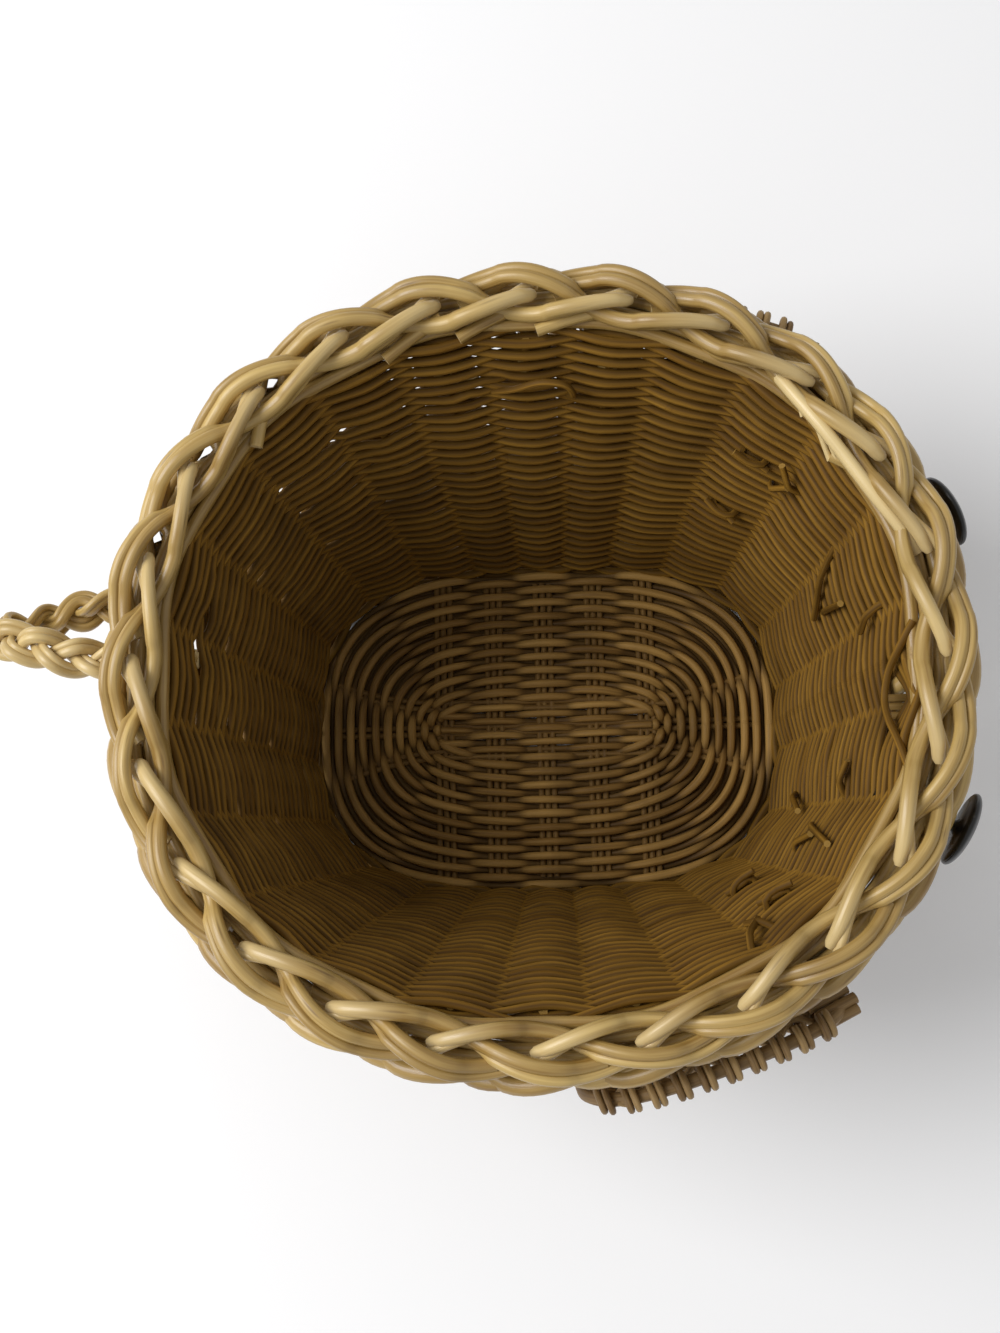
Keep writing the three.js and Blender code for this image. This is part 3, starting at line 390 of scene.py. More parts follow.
def makeReedGroup():
    group = bpy.data.node_groups.new("reedGrain", "ShaderNodeTree")
    face = group.interface
    for key in ("Pale", "Deep", "Stain And Painted Shade", "Cut End And Painted Light"):
        face.new_socket(key, in_out="INPUT", socket_type="NodeSocketColor")
    for key, value in (("Tone Spread", 0.6), ("Stain Amount", 0.4), ("Knot Amount", 0.6),
                       ("Painted Crevice Shade", 0.0), ("Gloss", 0.5)):
        face.new_socket(key, in_out="INPUT", socket_type="NodeSocketFloat").default_value = value
    for key, kind in (("Colour", "Color"), ("Roughness", "Float"), ("Height", "Float")):
        face.new_socket(key, in_out="OUTPUT", socket_type="NodeSocket" + kind)
    give = {s.name: s for s in group.nodes.new("NodeGroupInput").outputs if s.name}
    out = group.nodes.new("NodeGroupOutput")

    def attribute(name):
        return nodeValue(group, addNode(group, "ShaderNodeAttribute", attribute_name=name).outputs["Fac"])

    x, y, along, tone = (attribute(n) for n in ("aroundX", "aroundY", "alongReed", "reedTone"))

    def field(across, length, detail):
        spot = combine(group, x * across + tone * 31.0, y * across, along * length)
        return noiseAt(group, spot, 1.0, detail)

    def blend(a, b, share):
        return addNode(group, "ShaderNodeMix", data_type="RGBA", links={0: share, 6: a, 7: b}).outputs[2]

    def spread(value, low, high):
        node = addNode(group, "ShaderNodeMapRange", {0: value, 1: low, 2: high})
        return nodeValue(group, node.outputs[0])

    streak, fibre = field(1.6, 34.0, 3.0), field(5.0, 110.0, 2.0)
    tint = (tone - 0.5) * nodeValue(group, give["Tone Spread"]) + spread(streak, 0.3, 0.7) * 0.5 + fibre * 0.3
    colour = blend(give["Deep"], give["Pale"], spread(tint, -0.05, 0.95))
    ground = addNode(group, "ShaderNodeTexCoord").outputs["Object"]
    stain = spread(noiseAt(group, ground, 34.0, 3.0), 0.5, 0.75) * nodeValue(group, give["Stain Amount"])
    colour = blend(colour, give["Stain And Painted Shade"], stain)
    knotSpot = combine(group, x * 0.9 + tone * 53.0, y * 0.9, along * 42.0)
    knots = addNode(group, "ShaderNodeTexVoronoi", {"Vector": knotSpot, "Scale": 1.0})
    knot = spread(knots.outputs["Distance"], 0.17, 0.06) * nodeValue(group, give["Knot Amount"])
    colour = blend(colour, give["Stain And Painted Shade"], knot)
    creviceShade = spread(mathNode(group, "ABSOLUTE", y), 0.5, 1.0) * nodeValue(group, give["Painted Crevice Shade"])
    colour = blend(colour, give["Stain And Painted Shade"], creviceShade)  # painted shade where one row lies on the next
    # painted shade: darkened towards the stain colour where shade falls, by the painted shade share
    colour = blend(colour, give["Stain And Painted Shade"], attribute("dimmed"))
    # paler towards the cut-end colour where a reed is peeled, and painted light on the tail's lit arm
    colour = blend(colour, give["Cut End And Painted Light"], attribute("peelAndPaintedLight"))
    colour = blend(colour, give["Cut End And Painted Light"], attribute("cutEnd"))
    rough = 0.8 - nodeValue(group, give["Gloss"]) * 0.45 + (streak - 0.5) * 0.25
    height = streak * 0.6 + fibre * 0.5 - knot * 0.4
    for key, source in (("Colour", colour), ("Roughness", rough), ("Height", height)):
        join(group, source, out.inputs[key])
    return group


reedGroup = makeReedGroup()


def reedFinish(name, looks):
    material, tree, shader = newFinish(name)
    grain = tree.nodes.new("ShaderNodeGroup")
    grain.node_tree = reedGroup
    for key, value in looks["grain"].items():
        grain.inputs[key].default_value = value
    bump = addNode(tree, "ShaderNodeBump", {
        "Height": grain.outputs["Height"], "Strength": looks["bump"], "Distance": 0.0004})
    tree.links.new(grain.outputs["Colour"], shader.inputs["Base Color"])
    tree.links.new(grain.outputs["Roughness"], shader.inputs["Roughness"])
    tree.links.new(bump.outputs[0], shader.inputs["Normal"])
    shader.inputs["Specular IOR Level"].default_value = looks["specular"]
    return material


rimReed = reedFinish("rimReed", {"bump": 0.35, "specular": 0.6, "grain": {
    "Pale": srgb(202, 173, 107), "Deep": srgb(134, 101, 43), "Stain And Painted Shade": srgb(96, 68, 32),
    "Cut End And Painted Light": srgb(222, 198, 144), "Tone Spread": 0.45, "Stain Amount": 0.35,
    "Knot Amount": 0.55, "Gloss": 0.95}})
# painted shade: the side's reed is given darker, browner colours than the rim's to stand in for the shade
# inside the basket
shadedSideReed = reedFinish("shadedSideReed", {"bump": 0.4, "specular": 0.14, "grain": {
    "Pale": srgb(161, 121, 46), "Deep": srgb(103, 70, 20), "Stain And Painted Shade": srgb(58, 37, 10),
    "Cut End And Painted Light": srgb(158, 124, 62), "Tone Spread": 0.3, "Stain Amount": 0.45,
    # painted shade: dark lines painted where one row lies on the next
    "Knot Amount": 0.3, "Painted Crevice Shade": 0.75, "Gloss": 0.4}})
floorReed = reedFinish("floorReed", {"bump": 0.4, "specular": 0.2, "grain": {
    "Pale": srgb(186, 146, 80), "Deep": srgb(122, 89, 41), "Stain And Painted Shade": srgb(64, 43, 18),
    "Cut End And Painted Light": srgb(170, 138, 86), "Tone Spread": 0.6, "Stain Amount": 0.55,
    "Knot Amount": 0.3, "Gloss": 0.5}})
earReed = reedFinish("earReed", {"bump": 0.4, "specular": 0.35, "grain": {
    "Pale": srgb(172, 142, 94), "Deep": srgb(100, 73, 40), "Stain And Painted Shade": srgb(66, 46, 24),
    "Cut End And Painted Light": srgb(156, 122, 76), "Tone Spread": 0.7, "Stain Amount": 0.5,
    "Knot Amount": 0.4, "Gloss": 0.55}})
print("reed finishes made")

# Side: rows of plain weaving round 24 upright stakes
sideSettings = {
    "Rows": 57, "Row Points": 216, "Sides": 7, "First Height": 9.6 * mm, "Row Pitch": 2.28 * mm,
    "Outward": 3.5 * mm, "Swing": 1.85 * mm, "Waves": 12.0, "Row Stagger": pi,
    "Reed Radius": 1.12 * mm, "Section Depth": 1.14, "Section Height": 1.3, "Swell": 0.08,
    "Unevenness": 0.4 * mm, "Tight Middle": radians(95), "Looseness": 0.15, "Seed": 3,
}
partedRows = [  # where the trunk and the two ends of the tail go through
    {"angle": radians(352.5), "z": 121.5, "wide": 0.09, "high": 13, "up": 11, "down": 0.5, "paintedShadeHigh": 9},
    {"angle": radians(169.3), "z": 117, "wide": 0.045, "high": 9, "up": 2.6, "down": 2.6},
    {"angle": radians(176.7), "z": 117, "wide": 0.045, "high": 9, "up": 2.6, "down": 2.6},
]
slackRows = {  # loose places that let light through, halfway between stakes on the tail side
    "first": 127.5, "columns": 7, "each": 4, "low": 58, "high": 128, "shift": 2.2, "part": 1.5, "seed": 71,
    "gapWide": 0.03, "gapHigh": 3.2,
    "far": ((95.6, 119.5), (102.1, 113.2), (121, 104)),  # degrees round, height
}


def makeSlack(s):
    pick, places = random.Random(s["seed"]), list(s["far"])
    for column in range(s["columns"]):
        for k in range(s["each"]):
            at = s["first"] + column * 360 / basketForm["stakes"] + pick.uniform(-s["shift"], s["shift"])
            places.append((at, s["low"] + (s["high"] - s["low"]) * (k + pick.random()) / s["each"]))
    return [{"angle": radians(at), "z": z, "wide": s["gapWide"], "high": s["gapHigh"],
             "up": s["part"], "down": s["part"]} for at, z in places]


partedRows += makeSlack(slackRows)
ringTree = makeRingTree(partedRows)
sideWeave = runTree("sideWeave", ringTree, sideSettings, shadedSideReed)
footSettings = {
    "Rows": 3, "Row Points": 192, "Sides": 8, "First Height": 1.9 * mm, "Row Pitch": 2.5 * mm,
    "Outward": 3.6 * mm, "Swing": 1.9 * mm, "Waves": 12.0, "Row Stagger": fullTurn / 3, "Lift": 0.25 * mm,
    "Reed Radius": 1.5 * mm, "Section Depth": 0.9, "Section Height": 1.15, "Swell": 0.1,
    "Unevenness": 0.1 * mm, "Seed": 8,
}
footWale = runTree("footWale", ringTree, footSettings, shadedSideReed)

stakeSettings = {
    "radius": 1.2, "low": 3, "high": 134, "steps": 14, "seed": 5, "endRadius": 1.0, "endOut": -0.7,
    # trimmed ends of weavers: degrees round and height where each leaves the side and where it is cut
    "ends": ((14.7, 76, 13.1, 101), (23.2, 100, 14.2, 76), (-19.1, 42, -24.9, 64), (-26.6, 71, -32.1, 113),
             (-33.4, 74, -30.2, 91), (-49, 124, -52, 116), (-55.2, 131, -50, 118), (-22, 95, -16, 101),
             (40, 96, 36, 108), (34, 104, 39, 116), (9.5, 121, 6, 112)),
    # loose loop on the far side and the weaver that bows round the trunk's root: degrees round, height, out
    "loops": (
        ((97, 115, 2), (93, 120, -1), (87, 125, -2.6), (82.5, 124, -2.8), (81, 118, -1.6), (82, 112, 2)),
        ((4, 140, 3), (0.4, 137.5, 0), (-3, 133, -1.4), (-7.3, 130.4, -1.6), (-11.2, 134.2, -1.4),
         (-14.2, 138, 0), (-18, 140.5, 3))),
}


def makeStakes(s):
    pick, reeds = random.Random(s["seed"]), []
    for k in range(basketForm["stakes"]):
        angle = k / basketForm["stakes"] * fullTurn
        heights = [s["low"] + (s["high"] - s["low"]) * i / s["steps"] for i in range(s["steps"] + 1)]
        points = [wallPoint(angle, z, stakeLine) for z in heights]
        reeds.append(reed(wobble(points, 0.25, 40, k), s["radius"], pick.random()))
    for at, z, cutAt, cutZ in s["ends"]:
        points = []
        for i in range(9):
            t = i / 8
            out = stakeLine + (s["endOut"] - stakeLine) * min(1.0, 2.4 * t) ** 0.7
            points.append(wallPoint(radians(at + (cutAt - at) * t), z + (cutZ - z) * t, out))
        reeds.append(reed(points, s["endRadius"], pick.uniform(0.2, 0.8)))
    for turns in s["loops"]:
        loop = [wallPoint(radians(at), z, out) for at, z, out in turns]
        reeds.append(reed(smoothPath(loop, 30), s["endRadius"], 0.5))
    return reeds


sideStakes = sweepReeds("sideStakes", makeStakes(stakeSettings), shadedSideReed, 7)

# Floor: weavers go round a core of crossed sticks, over one bundle and under the next
floorSettings = {
    "rows": 19, "coreLong": 37.6, "coreWide": 10.4, "edgeLong": 76.4, "edgeWide": 53.6,
    # painted shade: how much darker the passes under a bundle, the lower passes and the sticks are
    "radius": 1.24, "swell": 0.16, "dim": 0.75, "lowPaintedShade": 0.6, "stickPaintedShade": 0.35,
    "lowMiddle": 2.0, "lowOver": 0.5, "lowRadius": 1.15,
    "middle": 4.7, "over": 2.0, "corePitch": 2.42, "coreReach": 36.2, "crossAt": 17.5, "crossHalf": 35.0,
    "points": 260, "seed": 11, "crossReach": 51, "stickRadius": 1.1, "stickDrop": 0.5, "longSpacing": 8.4,
    "longReach": 72, "splay": 9, "splayFrom": 38, "stickPitch": 2.3,
}


def floorPhase(x, y, s):  # grows by half a turn from one bundle to the next
    if abs(x) <= s["crossHalf"]:
        run = (x + s["crossHalf"]) / s["crossAt"]
        return pi * (run if y > 0 else 12 - run)
    bend = atan2(y, abs(x) - s["crossHalf"]) / pi
    return pi * (6 - 4 * bend if x > 0 else 14 + 4 * bend)


def overUnder(phase):  # long passes above and below, quick crossings between
    wave = cos(phase)
    return copysign(abs(wave) ** 0.85, wave)


def underPaintedShade(lift, s):  # painted shade: passes that dive under a bundle are darkened
    return s["dim"] * (1 - ease(0.4 + lift))


def floorOval(t, count, s):  # t 0 is the row round the core, 1 the row at the edge
    long = s["coreLong"] + (s["edgeLong"] - s["coreLong"]) * t
    wide = s["coreWide"] + (s["edgeWide"] - s["coreWide"]) * t
    oval = []
    for i in range(count):
        angle = fullTurn * i / count
        r = ovalRadius(angle, long, wide, 2.7 + 0.3 * t)
        oval.append((r * cos(angle), r * sin(angle)))
    return oval


def makeFloorRows(s):
    pick, reeds = random.Random(s["seed"]), []
    for row in range(s["rows"]):
        dense = [Vector((x, y, 0)) * mm for x, y in floorOval(row / (s["rows"] - 1), 720, s)]
        dense.append(dense[0].copy())
        points, radii, dims, fat = [], [], [], s["radius"] * pick.uniform(0.94, 1.08)
        for p in evenPath(dense, s["points"], True):
            lift = overUnder(floorPhase(p.x / mm, p.y / mm, s) + pi * row)
            points.append(Vector((p.x, p.y, (s["middle"] + s["over"] * lift) * mm)))
            radii.append(fat * (1 + s["swell"] * lift))
            dims.append(underPaintedShade(lift, s))
        reeds.append(reed(wobble(points, 0.5, 26, row), radii, pick.random(), closed=True, dim=dims))
    for row in range(s["rows"] - 1):  # lower passes between the rows close the floor
        points = []
        for x, y in floorOval((row + 0.5) / (s["rows"] - 1), 160, s):
            lift = overUnder(floorPhase(x, y, s) + pi * row)
            points.append(Vector((x, y, s["lowMiddle"] + s["lowOver"] * lift)) * mm)
        # painted shade: the lower passes are darkened
        reeds.append(reed(points, s["lowRadius"], pick.uniform(0.0, 0.4), closed=True,
                          dim=[s["lowPaintedShade"]] * len(points)))
    for k in range(-3, 4):  # short passes that fill the core
        y = k * s["corePitch"]
        points, dims = [], []
        for i in range(60):
            x = s["coreReach"] * (2 * i / 59 - 1)
            lift = overUnder(pi * ((x + s["crossHalf"]) / s["crossAt"] + k))
            points.append(Vector((x, y, s["middle"] + s["over"] * lift)) * mm)
            dims.append(underPaintedShade(lift, s))
        reeds.append(reed(wobble(points, 0.4, 20, k + 40), s["radius"], pick.random(), dim=dims))
    return reeds


def makeFloorSticks(s):
    pick, reeds = random.Random(s["seed"] + 1), []
    # painted shade: every stick is darkened
    stickZ = s["middle"] - s["stickDrop"]
    for k in range(-2, 3):
        for j in (-1, 0, 1):
            x = k * s["crossAt"] + j * s["stickPitch"]
            points = [Vector((x, s["crossReach"] * (i / 6 - 1), stickZ)) * mm for i in range(13)]
            reeds.append(reed(wobble(points, 0.4, 30, k * 5 + j), s["stickRadius"], pick.uniform(0.0, 0.4),
                              dim=[s["stickPaintedShade"]] * len(points)))
    for k in range(-1, 2):
        for j in (-0.5, 0.5):
            points = []
            for i in range(25):
                x = s["longReach"] * (i / 12 - 1)
                past = max(0.0, (abs(x) - s["splayFrom"]) / s["splayFrom"]) ** 1.6
                y = k * (s["longSpacing"] + s["splay"] * past) + j * s["stickPitch"]
                points.append(Vector((x, y, stickZ)) * mm)
            reeds.append(reed(wobble(points, 0.3, 30, k * 7 + j), s["stickRadius"], pick.uniform(0.0, 0.4),
                              dim=[s["stickPaintedShade"]] * len(points)))
    return reeds


floorWeave = sweepReeds("floorWeave", makeFloorRows(floorSettings), floorReed, 8)
floorSticks = sweepReeds("floorSticks", makeFloorSticks(floorSettings), floorReed, 7)

# Border: three strands plaited round the rim, over stakes that bend up from the side
borderSettings = {
    "strands": 3, "periods": 8, "rod": 1.85, "leafRod": 2.2, "swing": 4.9118, "rise": 2.6,
    "middle": 7.2118, "centreZ": 144.4255, "steep": 0.7, "first": 52, "secondFirst": 16, "last": 374,
    "points": 60, "tipPoints": 2,
    "secondRod": 1.5, "secondOut": 2.5, "secondDrop": 2.9, "secondLow": 0.7, "paleTip": 16, "seed": 21,
    # degrees round of each cut end and how far the rod runs on under the border
    "tucked": ((88, 11), (101.5, 10), (114.5, 11), (33, 8), (140.5, 6)),
    "tuckIn": 15.6, "tuckOut": 6, "tuckZ": 140.2, "tuckRise": 1.4, "tuckThick": 1.2,
    # pale peeled strand on the inner edge: degrees round, inward, height
    "peel": ((50, 8.5, 140.5), (44, 12.4, 144), (38, 14.2, 145.6), (31, 14.6, 145), (24, 13.6, 144.4),
             (18, 10.6, 142.4), (14, 8, 139)),
    "peelRod": 1.8, "peelTone": 0.8, "peelPale": 0.8, "tipPale": 0.75,
    "splinters": ((38.2, 14.1, 144, 32.6, 16.4, 139, 0.8), (36, 14.6, 144.6, 31.6, 15.8, 141, 0.5),
                  (43, 13, 145, 40.5, 15.2, 143, 0.45)),
}


def borderPoint(share, strand, s, second=False):
    phase = s["periods"] * fullTurn * share + strand * fullTurn / s["strands"]
    leaf = max(0.0, -sin(phase)) ** 0.6  # grows to 1 along the inner edge
    inward = s["middle"] - s["swing"] * sin(phase)
    wave = sin(2 * phase)
    z = s["centreZ"] - s["rise"] * copysign(abs(wave) ** s["steep"], wave)
    if second:  # below its fellow on the inner edge, beside it on the outer one
        inward -= s["secondOut"] * (1 - leaf)
        z -= s["secondLow"] + (s["secondDrop"] - s["secondLow"]) * leaf
    return rimPoint(-share * fullTurn, inward, z), leaf


def makeBorder(s):
    pick, reeds = random.Random(s["seed"]), []
    for strand in range(s["strands"]):
        for part in range(s["periods"]):  # each rod runs for one period and ends in a rounded leaf tip
            for second in (False, True):
                fat, points, radii, peel = pick.uniform(0.9, 1.08), [], [], []
                for i in range(s["points"] + 1):
                    first = s["secondFirst"] if second else s["first"]
                    phase = first + (s["last"] - first) * i / s["points"]
                    share = (part + phase / 360 - strand / s["strands"]) / s["periods"]
                    p, leaf = borderPoint(share, strand, s, second)
                    left = min(1.0, (s["points"] - i + 0.4) / s["tipPoints"])
                    points.append(p)
                    wide = s["secondRod"] if second else s["rod"] + (s["leafRod"] - s["rod"]) * leaf
                    radii.append(wide * fat * sqrt(1 - (1 - left) ** 2))
                    peel.append(s["tipPale"] * max(0.0, 1 - (s["points"] - i) / s["paleTip"]))
                points = wobble(points, 0.7, 26, strand + 3 * second)
                reeds.append(reed(points, radii, pick.random(), peel=peel))
    for at, length in s["tucked"]:  # cut rod ends tucked in under the inner edge
        points = []
        for i in range(10):
            t = i / 9
            points.append(rimPoint(radians(at - length * t), s["tuckIn"] - s["tuckOut"] * t,
                                   s["tuckZ"] + s["tuckRise"] * t))
        reeds.append(reed(points, s["secondRod"] * s["tuckThick"], pick.random()))
    peel = [rimPoint(radians(at), inward, z) for at, inward, z in s["peel"]]
    reeds.append(reed(smoothPath(peel, 40), s["peelRod"], s["peelTone"], peel=[s["peelPale"]] * 40))
    for at, inward, z, cutAt, cutIn, cutZ, thick in s["splinters"]:
        points = [rimPoint(radians(at), inward, z), rimPoint(radians(cutAt), cutIn, cutZ)]
        reeds.append(reed(smoothPath(points, 6), thick, s["peelTone"], peel=[s["peelPale"]] * 6))
    return reeds


plaitedBorder = sweepReeds("plaitedBorder", makeBorder(borderSettings), rimReed, 12)

bendSettings = {
    "radius": 2.5, "rods": 2, "lag": 4.8, "drop": 3.4, "back": 0.6, "steps": 26, "seed": 31,
    "waleRadius": 1.75, "waleWaves": 12, "waleSwing": 0.7,
    # places where light shows through: x and y of the line of sight at its top and low heights
    "light": (((-66.4, 74.4), (-71.3, 83.7)), ((-83.4, 56.3), (-89.5, 64.3)),
              ((-96.2, 33.6), (-103.1, 40.2))),
    "lightRadius": 1.5, "lightTop": 148, "lightLow": 124,
    # a rod leaves the side: turn in radians, height, out
    "leave": ((0, 121, 4.6), (0.05, 126.5, 9.2)),
    # and bends in under the border: turn in radians, inward, height, share of the drop
    "bendIn": ((0.16, -1.5, 132, 1), (0.31, -0.4, 136.5, 0.8), (0.44, 6.4, 137.2, 0.6)),
    # rods of the wale: inward, height
    "wale": ((12.4, 138.2), (10.0, 138.4), (7.6, 137.8), (4.6, 137.4), (1.9, 136.2), (1.4, 133.2),
             (2.6, 130.4), (4.2, 128.0)),
}


def partRound(points, radius, s):  # a rod passes each line of sight on one side
    moved, keep = [Vector(p) for p in points], (s["lightRadius"] + radius) * mm
    drop = s["lightTop"] - s["lightLow"]
    for top, low in s["light"]:
        away = [p.xy - Vector(top).lerp(Vector(low), (s["lightTop"] - p.z / mm) / drop) * mm for p in moved]
        feet = []
        for a, b in zip(away, away[1:]):
            run = b - a
            feet.append(a + run * unit(-a.dot(run) / (run.length_squared + 1e-12)))
        nearest = min(feet, key=lambda v: v.length)
        if nearest.length > keep:
            continue
        push = nearest.normalized()
        for p, off in zip(moved, away):
            over = off.dot(push)
            past = (off - push * over).length
            if past < keep and abs(over) < keep:
                p.xy = p.xy + push * max(0.0, sqrt(keep ** 2 - past ** 2) - over)
    return moved


def makeBends(s):
    pick, reeds = random.Random(s["seed"]), []
    for j, (inward, z) in enumerate(s["wale"]):
        loop = []
        for i in range(192):
            wave = s["waleSwing"] * cos(s["waleWaves"] * fullTurn * i / 192 + j * fullTurn / 3)
            loop.append(rimPoint(fullTurn * i / 192, inward + wave, z))
        reeds.append(reed(wobble(loop, 0.3, 30, j), s["waleRadius"], pick.random(), closed=True))
    for k in range(basketForm["stakes"]):
        for rod in range(s["rods"]):
            a = k / basketForm["stakes"] * fullTurn - radians(s["lag"] * rod)
            down, back = s["drop"] * rod, s["back"] * rod
            knee = [wallPoint(a + turn, z - down, out) for turn, z, out in s["leave"]]
            for turn, inward, z, share in s["bendIn"]:
                knee.append(rimPoint(a + turn, inward + back, z - down * share))
            points = wobble(smoothPath(knee, s["steps"]), 0.6, 24, k + rod * 30)
            reeds.append(reed(points, tone=pick.random(), radius=s["radius"] * pick.uniform(0.94, 1.06)))
    for one in reeds:
        one["points"] = partRound(one["points"], one["radius"], s)
    return reeds


rimBends = sweepReeds("rimBends", makeBends(bendSettings), rimReed, 10)

# Ears: bent hoop, cross ribs, and pairs of thin reed that loop over the hoop
earSettings = {
    "length": 72, "height": 66, "crown": 2, "widest": 45, "corner": 5.8, "flare": 20, "tipAt": 49.4,
    "standOff": 12, "tipZ": 118, "leftHeading": 165.0, "rightHeading": 158.5, "seed": 41,
    "hoop": 1.85, "reed": 1.0, "pairs": 10, "firstPair": 7, "pairStep": 6.7, "pairHalf": 1.0, "slack": 1.35,
    "weft": 1.05, "weftPitch": 2.45, "weftSwing": 1.9, "lowest": 4, "clear": 5.5,
    # cut ends that stand out at the front: height, start along the ear, end along the ear, out of the face
    "frontEnds": ((65, 9, -3, -1.2), (64, 8, -3.6, 1.2), (61.5, 9, -2.6, 3.4), (56, 8, -2.5, 0.5)),
}


def earFrame(side, s):
    heading = radians(s["leftHeading"] if side > 0 else s["rightHeading"])
    flare = radians(s["flare"])
    rear = Vector((cos(heading), side * sin(heading), 0))
    outward = Vector((sin(heading), -side * cos(heading), 0))
    rise = outward * sin(flare) + Vector((0, 0, cos(flare)))
    face = (rear.cross(rise) * -side).normalized()
    tip = rimPoint(side * radians(s["tipAt"]), -s["standOff"], s["tipZ"])
    origin = tip - rise * s["height"] * mm
    return lambda p, q, n=0.0: origin + (rear * p + rise * q + face * n) * mm


def earOutline(s):
    outline = [(0, s["height"] * (i + 0.5) / 5) for i in range(5)] + [(s["corner"], s["height"])]
    for i in range(11):
        bend = radians(75 - 16 * i)
        half = s["height"] + s["crown"] - s["widest"] if bend > 0 else s["widest"]
        reach = s["length"] * cos(bend) ** (0.5 if bend > 0 else 1.3)
        outline.append((reach, s["widest"] + half * sin(bend)))
    return outline


def earSpan(loop, p):  # lowest and highest q of the outline at p
    cuts = []
    for a, b in zip(loop, loop[1:] + loop[:1]):
        if (a.x - p) * (b.x - p) <= 0 and abs(a.x - b.x) > 1e-9:
            cuts.append(a.y + (b.y - a.y) * (p - a.x) / (b.x - a.x))
    return min(cuts), max(cuts)


def makeEar(side, s):
    spot, pick = earFrame(side, s), random.Random(s["seed"] + side)
    loop = smoothPath([Vector((p, q, 0)) for p, q in earOutline(s)], 120, True)
    hoop = [spot(v.x, v.y) for v in loop]
    reeds = [reed(wobble(hoop, 0.4, 30, 3 + side), s["hoop"], pick.random(), closed=True)]
    row = 0
    while s["lowest"] + s["weftPitch"] * row < s["height"] - s["clear"]:  # thin reeds woven across
        q = s["lowest"] + s["weftPitch"] * row
        far = max(v.x for v in loop if abs(v.y - q) < 3)
        points = []
        for k in range(64):
            p = 0.5 + (far - 1.5) * k / 63
            wave = cos(pi * ((p - s["firstPair"]) / s["pairStep"] + row))
            points.append(spot(p, q, s["weftSwing"] * wave))
        reeds.append(reed(wobble(points, 0.4, 20, row), s["weft"], pick.random()))
        row += 1
    for i in range(s["pairs"]):
        p = s["firstPair"] + s["pairStep"] * i
        for j in (-s["pairHalf"], s["pairHalf"]):
            low, high = earSpan(loop, p + j)
            reach, points = s["hoop"] + s["reed"] + 0.1, []
            slack = s["slack"] * pick.uniform(0.9, 1.12)
            for k in range(9):  # over the hoop at the top
                a = pi * (k / 8)
                points.append(spot(p + j, high + reach * sin(a) * slack, reach * cos(a)))
            for k in range(1, 24):
                behind = -reach * (1 - k / 4) if k < 4 else 0.0
                points.append(spot(p + j, high - (high - low) * k / 24, behind))
            for k in range(9):
                a = pi * (k / 8)
                points.append(spot(p + j, low - reach * sin(a), -reach * cos(a)))
            reeds.append(reed(smoothPath(points, 70), s["reed"] * pick.uniform(0.92, 1.05), pick.random()))
    for q, start, end, n in s["frontEnds"]:
        points = [spot(start + (end - start) * k / 6, q - 0.4 * k, n) for k in range(7)]
        reeds.append(reed(points, s["hoop"] * 0.86, pick.random()))
    return sweepReeds(("left" if side > 0 else "right") + "Ear", reeds, earReed, 8)


ears = {1: makeEar(1, earSettings), -1: makeEar(-1, earSettings)}

tieSettings = {"radius": 1.0, "bend": 3.4, "heights": (45, 9), "lie": 1.8, "stakeAt": 45, "past": 0.8}


def makeTies(s):
    reeds = []
    for side in (1, -1):
        spot = earFrame(side, earSettings)
        rise = (spot(0, 1) - spot(0, 0)).normalized()
        stake = side * radians(s["stakeAt"])
        for height in s["heights"]:
            pivot = spot(0, height)
            target = wallPoint(stake, pivot.z / mm, stakeLine)
            for _ in range(3):
                inTo = target - pivot
                inTo = (inTo - rise * inTo.dot(rise)).normalized()
                run = (target - pivot).xy.length / inTo.xy.length
                target = wallPoint(stake, (pivot.z + inTo.z * run) / mm, stakeLine)
            reach = (target - pivot).length / mm + stakeLine + s["past"]
            across = rise.cross(inTo).normalized()
            spread = across * (s["bend"] + s["lie"]) - rise * s["lie"]  # inside, the ends cross on the weave
            points = [pivot + (inTo * (reach + 1.6) - spread) * mm, pivot + (inTo * (reach + 1.4)) * mm]
            points += [pivot + (inTo * reach * i / 5 + across * s["bend"]) * mm for i in range(5, 0, -1)]
            for i in range(7):
                a = pi * i / 6
                points.append(pivot + (inTo * -sin(a) + across * cos(a)) * s["bend"] * mm)
            points += [pivot + (inTo * reach * i / 5 - across * s["bend"]) * mm for i in range(1, 6)]
            points += [pivot + inTo * reach * mm, pivot + (inTo * reach + spread) * mm]
            reeds.append(reed(smoothPath(points, 40), s["radius"], 0.6 + 0.1 * side))
    return reeds


earTies = sweepReeds("earTies", makeTies(tieSettings), shadedSideReed, 8)

# Trunk and tail: three rods plaited along a path, closed to a bundle at the roots
plaitSettings = {"gap": 0.6, "swing": 1.03, "rise": 0.69, "opening": 0.2}


